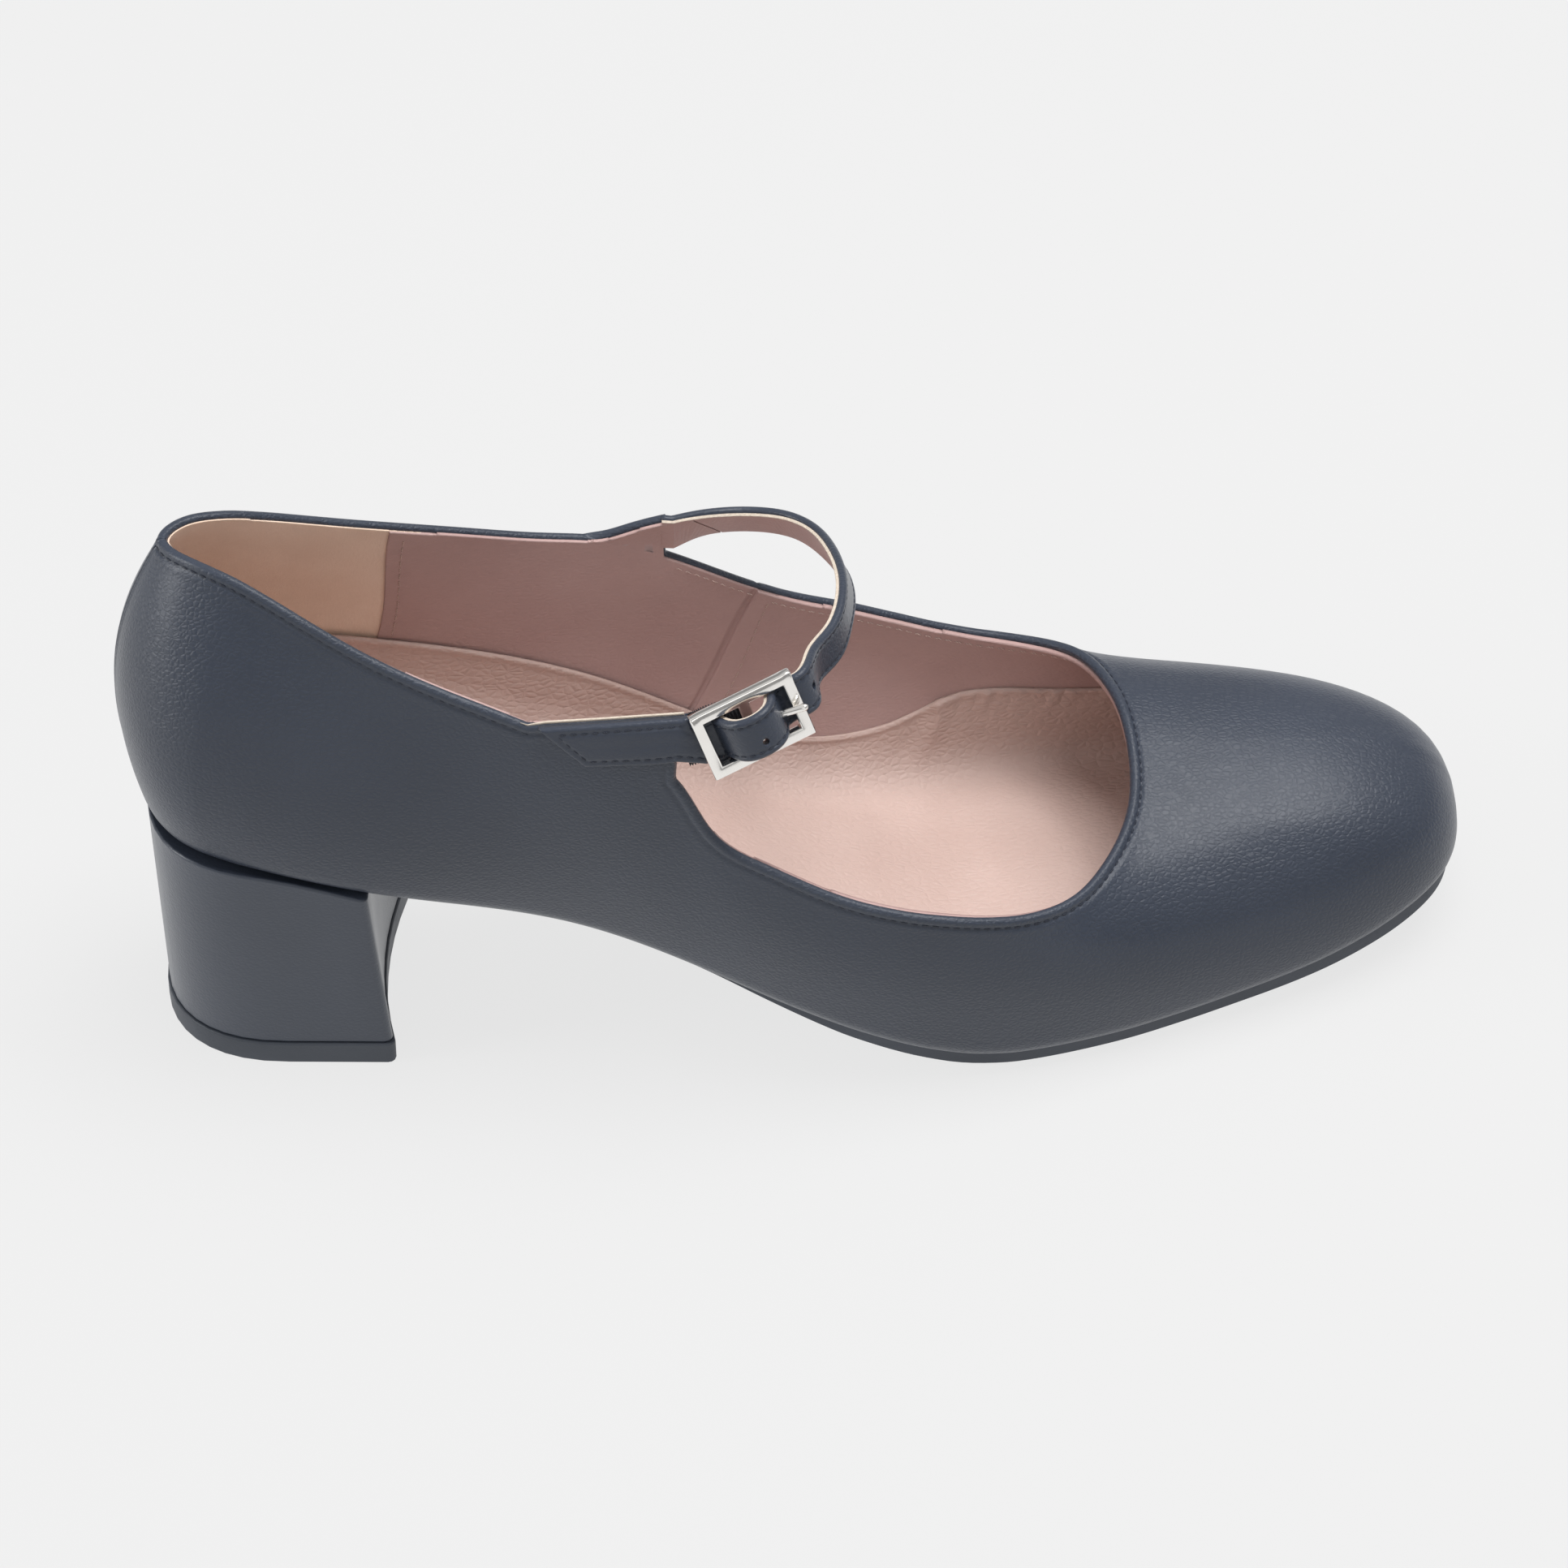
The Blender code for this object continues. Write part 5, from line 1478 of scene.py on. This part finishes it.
class Nodes:
    """A material's node tree with short ways to add and join nodes."""

    def __init__(self, name):
        self.material = bpy.data.materials.new(name)
        self.material.use_nodes = True
        self.tree = self.material.node_tree
        self.shader = self.tree.nodes["Principled BSDF"]
        self.where = self.tree.nodes.new("ShaderNodeTexCoord").outputs["Object"]

    def feed(self, socket, value):
        """Join an output to a socket, or set the socket's own value."""
        if isinstance(value, bpy.types.NodeSocket):
            self.tree.links.new(value, socket)
        elif socket.type == "RGBA":
            socket.default_value = (*value, 1)
        else:
            socket.default_value = value

    def add(self, kind, **values):
        """Node with its inputs and settings; an underscore stands for a space in an input's name."""
        node = self.tree.nodes.new(kind)
        for key, value in values.items():
            name = key.replace("_", " ")
            if name in node.inputs:
                self.feed(node.inputs[name], value)
            else:
                setattr(node, key, value)
        return node

    def into(self, **values):
        """Inputs of the shader, named in the same way."""
        for key, value in values.items():
            self.feed(self.shader.inputs[key.replace("_", " ")], value)

    def stretched(self, scale):
        return self.add("ShaderNodeMapping", Scale=scale, Vector=self.where).outputs["Vector"]

    def noise(self, scale, detail=3.0, vector=None, roughness=0.5):
        node = self.add("ShaderNodeTexNoise", Scale=scale, Detail=detail, Roughness=roughness,
                        Vector=vector or self.where)
        return node.outputs["Fac"]

    def cells(self, scale, vector):
        node = self.add("ShaderNodeTexVoronoi", feature="DISTANCE_TO_EDGE", Scale=scale, Vector=vector)
        return node.outputs["Distance"]

    def ramp(self, value, *stops):
        node = self.add("ShaderNodeValToRGB", Fac=value)
        set_stops(node.color_ramp.elements, stops)
        return node.outputs["Color"]

    def span(self, value, low, high, source=(0.0, 1.0)):
        node = self.add("ShaderNodeMapRange", Value=value, From_Min=source[0], From_Max=source[1],
                        To_Min=low, To_Max=high)
        return node.outputs["Result"]

    def total(self, a, b):
        node = self.add("ShaderNodeMath", operation="ADD")
        self.feed(node.inputs[0], a)
        self.feed(node.inputs[1], b)
        return node.outputs["Value"]

    def mix(self, share, a, b):
        """Colour between a and b."""
        node = self.add("ShaderNodeMix", data_type="RGBA")
        self.feed(next(s for s in node.inputs if s.name == "Factor" and s.type == "VALUE"), share)
        for name, value in (("A", a), ("B", b)):
            self.feed(next(s for s in node.inputs if s.name == name and s.type == "RGBA"), value)
        return next(s for s in node.outputs if s.type == "RGBA")

    def bump(self, *layers):
        """Layers of (height, distance in metres, strength), one over another."""
        normal = None
        for height, distance, strength in layers:
            node = self.add("ShaderNodeBump", Strength=strength, Distance=distance, Height=height)
            if normal:
                self.feed(node.inputs["Normal"], normal)
            normal = node.outputs["Normal"]
        self.into(Normal=normal)


def navy_leather(name, dark, light, grain, grain_depth, rough):
    """Fine-grained leather: rounded cells stretched along the shoe, with soft shifts of tone and gloss, and
    painted shade in the creases between the cells.
    """
    n = Nodes(name)
    along = n.stretched((0.72, 1.0, 1.0))
    warp = n.noise(grain * 0.45, 2.0, along)
    cells = n.cells(grain, along)
    plump = n.span(cells, 0.0, 1.0, (0.0, 0.28))
    fine = n.noise(grain * 3.2, 3.0, along)
    tone = n.noise(38.0, 4.0)
    colour = n.ramp(tone, (0.30, dark), (0.72, light))
    # Painted shade: the colour darkens along the cells' edges, where the grain bump is lowest
    crease_shade = n.span(cells, 0.78, 1.0, (0.0, 0.10))
    n.into(Base_Color=n.mix(0.55, colour, n.mix(crease_shade, dark, light)))
    n.into(Roughness=n.total(n.span(tone, rough - 0.05, rough + 0.06), n.span(fine, -0.04, 0.05)))
    n.into(Specular_IOR_Level=0.34, Coat_Weight=0.40, Coat_Roughness=0.30)
    n.into(Sheen_Weight=0.02, Sheen_Roughness=0.45, Sheen_Tint=(0.72, 0.78, 0.88))
    n.bump((warp, 0.00012, 0.35), (plump, 0.00006 * grain_depth, 0.9), (fine, 0.00003, 0.5))
    return n.material


def soft_leather(name, dark, light, grain, depth, rough):
    """Lining or sock leather."""
    n = Nodes(name)
    along = n.stretched((0.6, 1.0, 1.0))
    cells = n.span(n.cells(grain, along), 0.0, 1.0, (0.0, 0.30))
    fine = n.noise(grain * 2.6, 3.0, along)
    tone = n.noise(26.0, 4.0)
    n.into(Base_Color=n.mix(n.span(fine, 0.0, 0.25), n.ramp(tone, (0.30, dark), (0.70, light)), dark))
    n.into(Roughness=n.span(fine, rough - 0.06, rough + 0.08))
    n.into(Specular_IOR_Level=0.35)
    n.bump((n.noise(grain * 0.3, 2.0), 0.00015, 0.4), (cells, 0.00008 * depth, 0.8), (fine, 0.00003, 0.5))
    return n.material


def suede(name, dark, light):
    n = Nodes(name)
    nap = n.noise(2600.0, 4.0, n.stretched((1.0, 1.0, 0.45)), 0.7)
    cloud = n.noise(60.0, 5.0, roughness=0.6)
    n.into(Base_Color=n.mix(n.span(nap, 0.1, 0.9), n.ramp(cloud, (0.30, dark), (0.72, light)), dark))
    n.into(Roughness=n.span(nap, 0.88, 1.0))
    n.into(Specular_IOR_Level=0.15, Sheen_Weight=0.35, Sheen_Roughness=0.6)
    n.bump((cloud, 0.0004, 0.25), (nap, 0.00012, 0.8))
    return n.material


def raw_edge(name, dark, light):
    """Cut edge of split leather, fibrous."""
    n = Nodes(name)
    fibre = n.noise(1900.0, 4.0, n.stretched((1.0, 1.0, 2.6)), 0.65)
    cloud = n.noise(240.0, 3.0)
    n.into(Base_Color=n.mix(n.span(cloud, 0.0, 0.6), n.ramp(fibre, (0.30, dark), (0.62, light)), light))
    n.into(Roughness=n.span(fibre, 0.75, 0.95))
    n.bump((fibre, 0.00015, 0.8))
    return n.material


def thread_look(name, colour, shade):
    n = Nodes(name)
    twist = n.add("ShaderNodeTexWave", Scale=1500.0, Distortion=2.0, bands_direction="DIAGONAL",
                  Vector=n.where)
    n.into(Base_Color=n.ramp(twist.outputs["Fac"], (0.2, shade), (0.8, colour)))
    n.into(Roughness=n.span(twist.outputs["Fac"], 0.5, 0.65))
    n.bump((twist.outputs["Fac"], 0.00005, 0.6))
    return n.material


def polished_metal():
    n = Nodes("polished_nickel")
    brush = n.noise(900.0, 4.0, n.stretched((0.3, 1.0, 1.0)))
    cloud = n.noise(120.0, 3.0)
    n.into(Base_Color=n.ramp(cloud, (0.3, (0.86, 0.835, 0.80)), (0.7, (0.94, 0.92, 0.885))))
    n.into(Metallic=1.0)
    n.into(Roughness=n.span(brush, 0.10, 0.20))
    n.bump((brush, 0.00001, 0.25))
    return n.material


def elastic_look():
    n = Nodes("elastic_black")
    weave = n.noise(3200.0, 3.0)
    n.into(Base_Color=n.ramp(weave, (0.3, (0.010, 0.010, 0.013)), (0.7, (0.035, 0.036, 0.042))))
    n.into(Roughness=n.span(weave, 0.7, 0.9))
    n.bump((weave, 0.00008, 0.7))
    return n.material


def sole_look(name, dark, light, rough):
    """Smooth moulded sole: faint flow marks, small pits, scuffs where it touches the floor."""
    n = Nodes(name)
    pits = n.noise(2100.0, 3.0)
    flow = n.noise(90.0, 5.0, n.stretched((0.3, 1.0, 1.0)))
    scuff = n.noise(420.0, 5.0, n.stretched((0.25, 1.0, 1.0)), 0.7)
    mark = n.ramp(scuff, (0.56, (0.0, 0.0, 0.0)), (0.70, (1.0, 1.0, 1.0)))
    n.into(Base_Color=n.mix(n.span(mark, 0.0, 0.25), n.ramp(flow, (0.3, dark), (0.7, light)), light))
    n.into(Roughness=n.total(n.span(pits, rough - 0.05, rough + 0.05), n.span(mark, 0.0, 0.12)))
    n.bump((flow, 0.0002, 0.2), (pits, 0.00005, 0.6))
    return n.material


def make_floor():
    """Light table that the shoe stands on."""
    mesh = bpy.data.meshes.new("floor")
    corners = [(-FLOOR, -FLOOR, 0), (FLOOR, -FLOOR, 0), (FLOOR, FLOOR, 0), (-FLOOR, FLOOR, 0)]
    mesh.from_pydata(corners, [], [(0, 1, 2, 3)])
    floor = bpy.data.objects.new("floor", mesh)
    bpy.context.scene.collection.objects.link(floor)
    n = Nodes("floor_paper")
    n.into(Base_Color=FLOOR_TONE, Roughness=0.9, Specular_IOR_Level=0.1)
    n.into(Emission_Color=(1.0, 1.0, 1.0), Emission_Strength=FLOOR_GLOW)
    mesh.materials.append(n.material)


def make_sky():
    """Grey surroundings, brighter overhead."""
    world = bpy.context.scene.world or bpy.data.worlds.new("studio")
    bpy.context.scene.world = world
    world.use_nodes = True
    tree = world.node_tree
    back = tree.nodes["Background"]
    back.inputs["Strength"].default_value = SKY_STRENGTH
    way = tree.nodes.new("ShaderNodeTexCoord").outputs["Generated"]
    split = tree.nodes.new("ShaderNodeSeparateXYZ")
    tree.links.new(way, split.inputs["Vector"])
    ramp = tree.nodes.new("ShaderNodeValToRGB")
    tree.links.new(split.outputs["Z"], ramp.inputs["Fac"])
    set_stops(ramp.color_ramp.elements, [(height, (tone, tone, tone)) for height, tone in SKY])
    tree.links.new(ramp.outputs["Color"], back.inputs["Color"])


def make_lamps():
    for name, spot, target, size_x, size_y, power, reflected in LAMPS:
        data = bpy.data.lights.new(name, "AREA")
        data.shape = "RECTANGLE"
        data.size, data.size_y, data.energy = size_x, size_y, power
        lamp = bpy.data.objects.new(name, data)
        lamp.location = spot
        lamp.visible_glossy = reflected
        lamp.rotation_euler = (Vector(target) - Vector(spot)).to_track_quat("-Z", "Y").to_euler()
        bpy.context.scene.collection.objects.link(lamp)


def make_camera():
    """Camera of the photo, with the lens that gives its scale."""
    azimuth, rise = math.radians(CAMERA_AZIMUTH), math.radians(CAMERA_RISE)
    right = Vector((math.cos(azimuth), math.sin(azimuth), 0))
    level = Vector((math.sin(azimuth), -math.cos(azimuth), 0))
    back_way = level * math.cos(rise) + Vector((0, 0, math.sin(rise)))
    up = back_way.cross(right)
    shift = (right * CAMERA_SHIFT[0] + up * CAMERA_SHIFT[1]) / PIXELS_PER_METRE
    aim = Vector(CAMERA_AIM) + Vector(OFFSET) + shift
    data = bpy.data.cameras.new("camera")
    data.sensor_fit = "HORIZONTAL"
    data.sensor_width = SENSOR
    data.lens = PIXELS_PER_METRE * CAMERA_DISTANCE / IMAGE_SIZE * SENSOR
    data.clip_start, data.clip_end = 0.05, 20.0
    camera = bpy.data.objects.new("camera", data)
    basis = Matrix((right, up, back_way)).transposed().to_4x4()
    camera.matrix_world = Matrix.Translation(aim + back_way * CAMERA_DISTANCE) @ basis
    bpy.context.scene.collection.objects.link(camera)
    bpy.context.scene.camera = camera


# Looks of the pieces
navy = navy_leather("navy_leather", (0.018, 0.0235, 0.037), (0.029, 0.037, 0.056), 1150.0, 1.4, 0.40)
# The heel cover is a lighter copy of the navy leather: painted light for the bright reflection along the
# heel's side
navy_smooth_lightened = navy_leather("navy_heel_cover_lightened", (0.026, 0.033, 0.049), (0.040, 0.049, 0.069),
                           1200.0, 0.4, 0.34)
navy_strap = navy_leather("navy_strap_leather", (0.018, 0.0235, 0.037), (0.028, 0.035, 0.053),
                          1100.0, 0.8, 0.38)
pink = soft_leather("pink_lining", (0.38, 0.25, 0.235), (0.47, 0.33, 0.31), 1200.0, 0.5, 0.50)
# The sock is a lighter pink than the lining: painted light for the top light that falls on the insole
pink_sock_lightened = soft_leather("pink_sock_lightened", (0.49, 0.355, 0.313), (0.585, 0.445, 0.40), 900.0, 1.5, 0.44)
buff = suede("buff_suede", (0.70, 0.52, 0.40), (0.86, 0.70, 0.57))
beige = raw_edge("raw_edge", (0.36, 0.29, 0.235), (0.56, 0.49, 0.41))
navy_thread = thread_look("navy_thread", (0.022, 0.028, 0.045), (0.008, 0.010, 0.018))
pink_thread = thread_look("pink_thread", (0.62, 0.47, 0.42), (0.30, 0.20, 0.18))
metal = polished_metal()
sole_dark = sole_look("dark_sole", (0.035, 0.042, 0.055), (0.055, 0.063, 0.080), 0.5)
rubber = sole_look("top_piece_rubber", (0.036, 0.043, 0.056), (0.056, 0.064, 0.080), 0.52)

# Pieces
base = Skin()
make_leather(base, [navy])
make_linings(base, pink, buff, beige)
make_upper_stitches([navy_thread])
lining_stitches([pink_thread])
make_sock([pink_sock_lightened])
make_sole([sole_dark])
make_heel_pieces(navy_smooth_lightened, rubber)
strap, strap_lining, strap_rows = make_strap_pieces(navy_strap, [pink, beige], navy_thread)
make_buckle_frame(metal)
make_prong(metal)
make_tab_pieces(navy_strap, navy_thread)
make_ear_edge(beige)
make_elastic_band(elastic_look())
punch_strap([strap, strap_lining], strap_rows)
cut_lining_joint(strap_lining, strap_rows)

# Studio
bpy.context.scene.view_settings.view_transform = "Standard"
make_floor()
make_sky()
make_lamps()
make_camera()
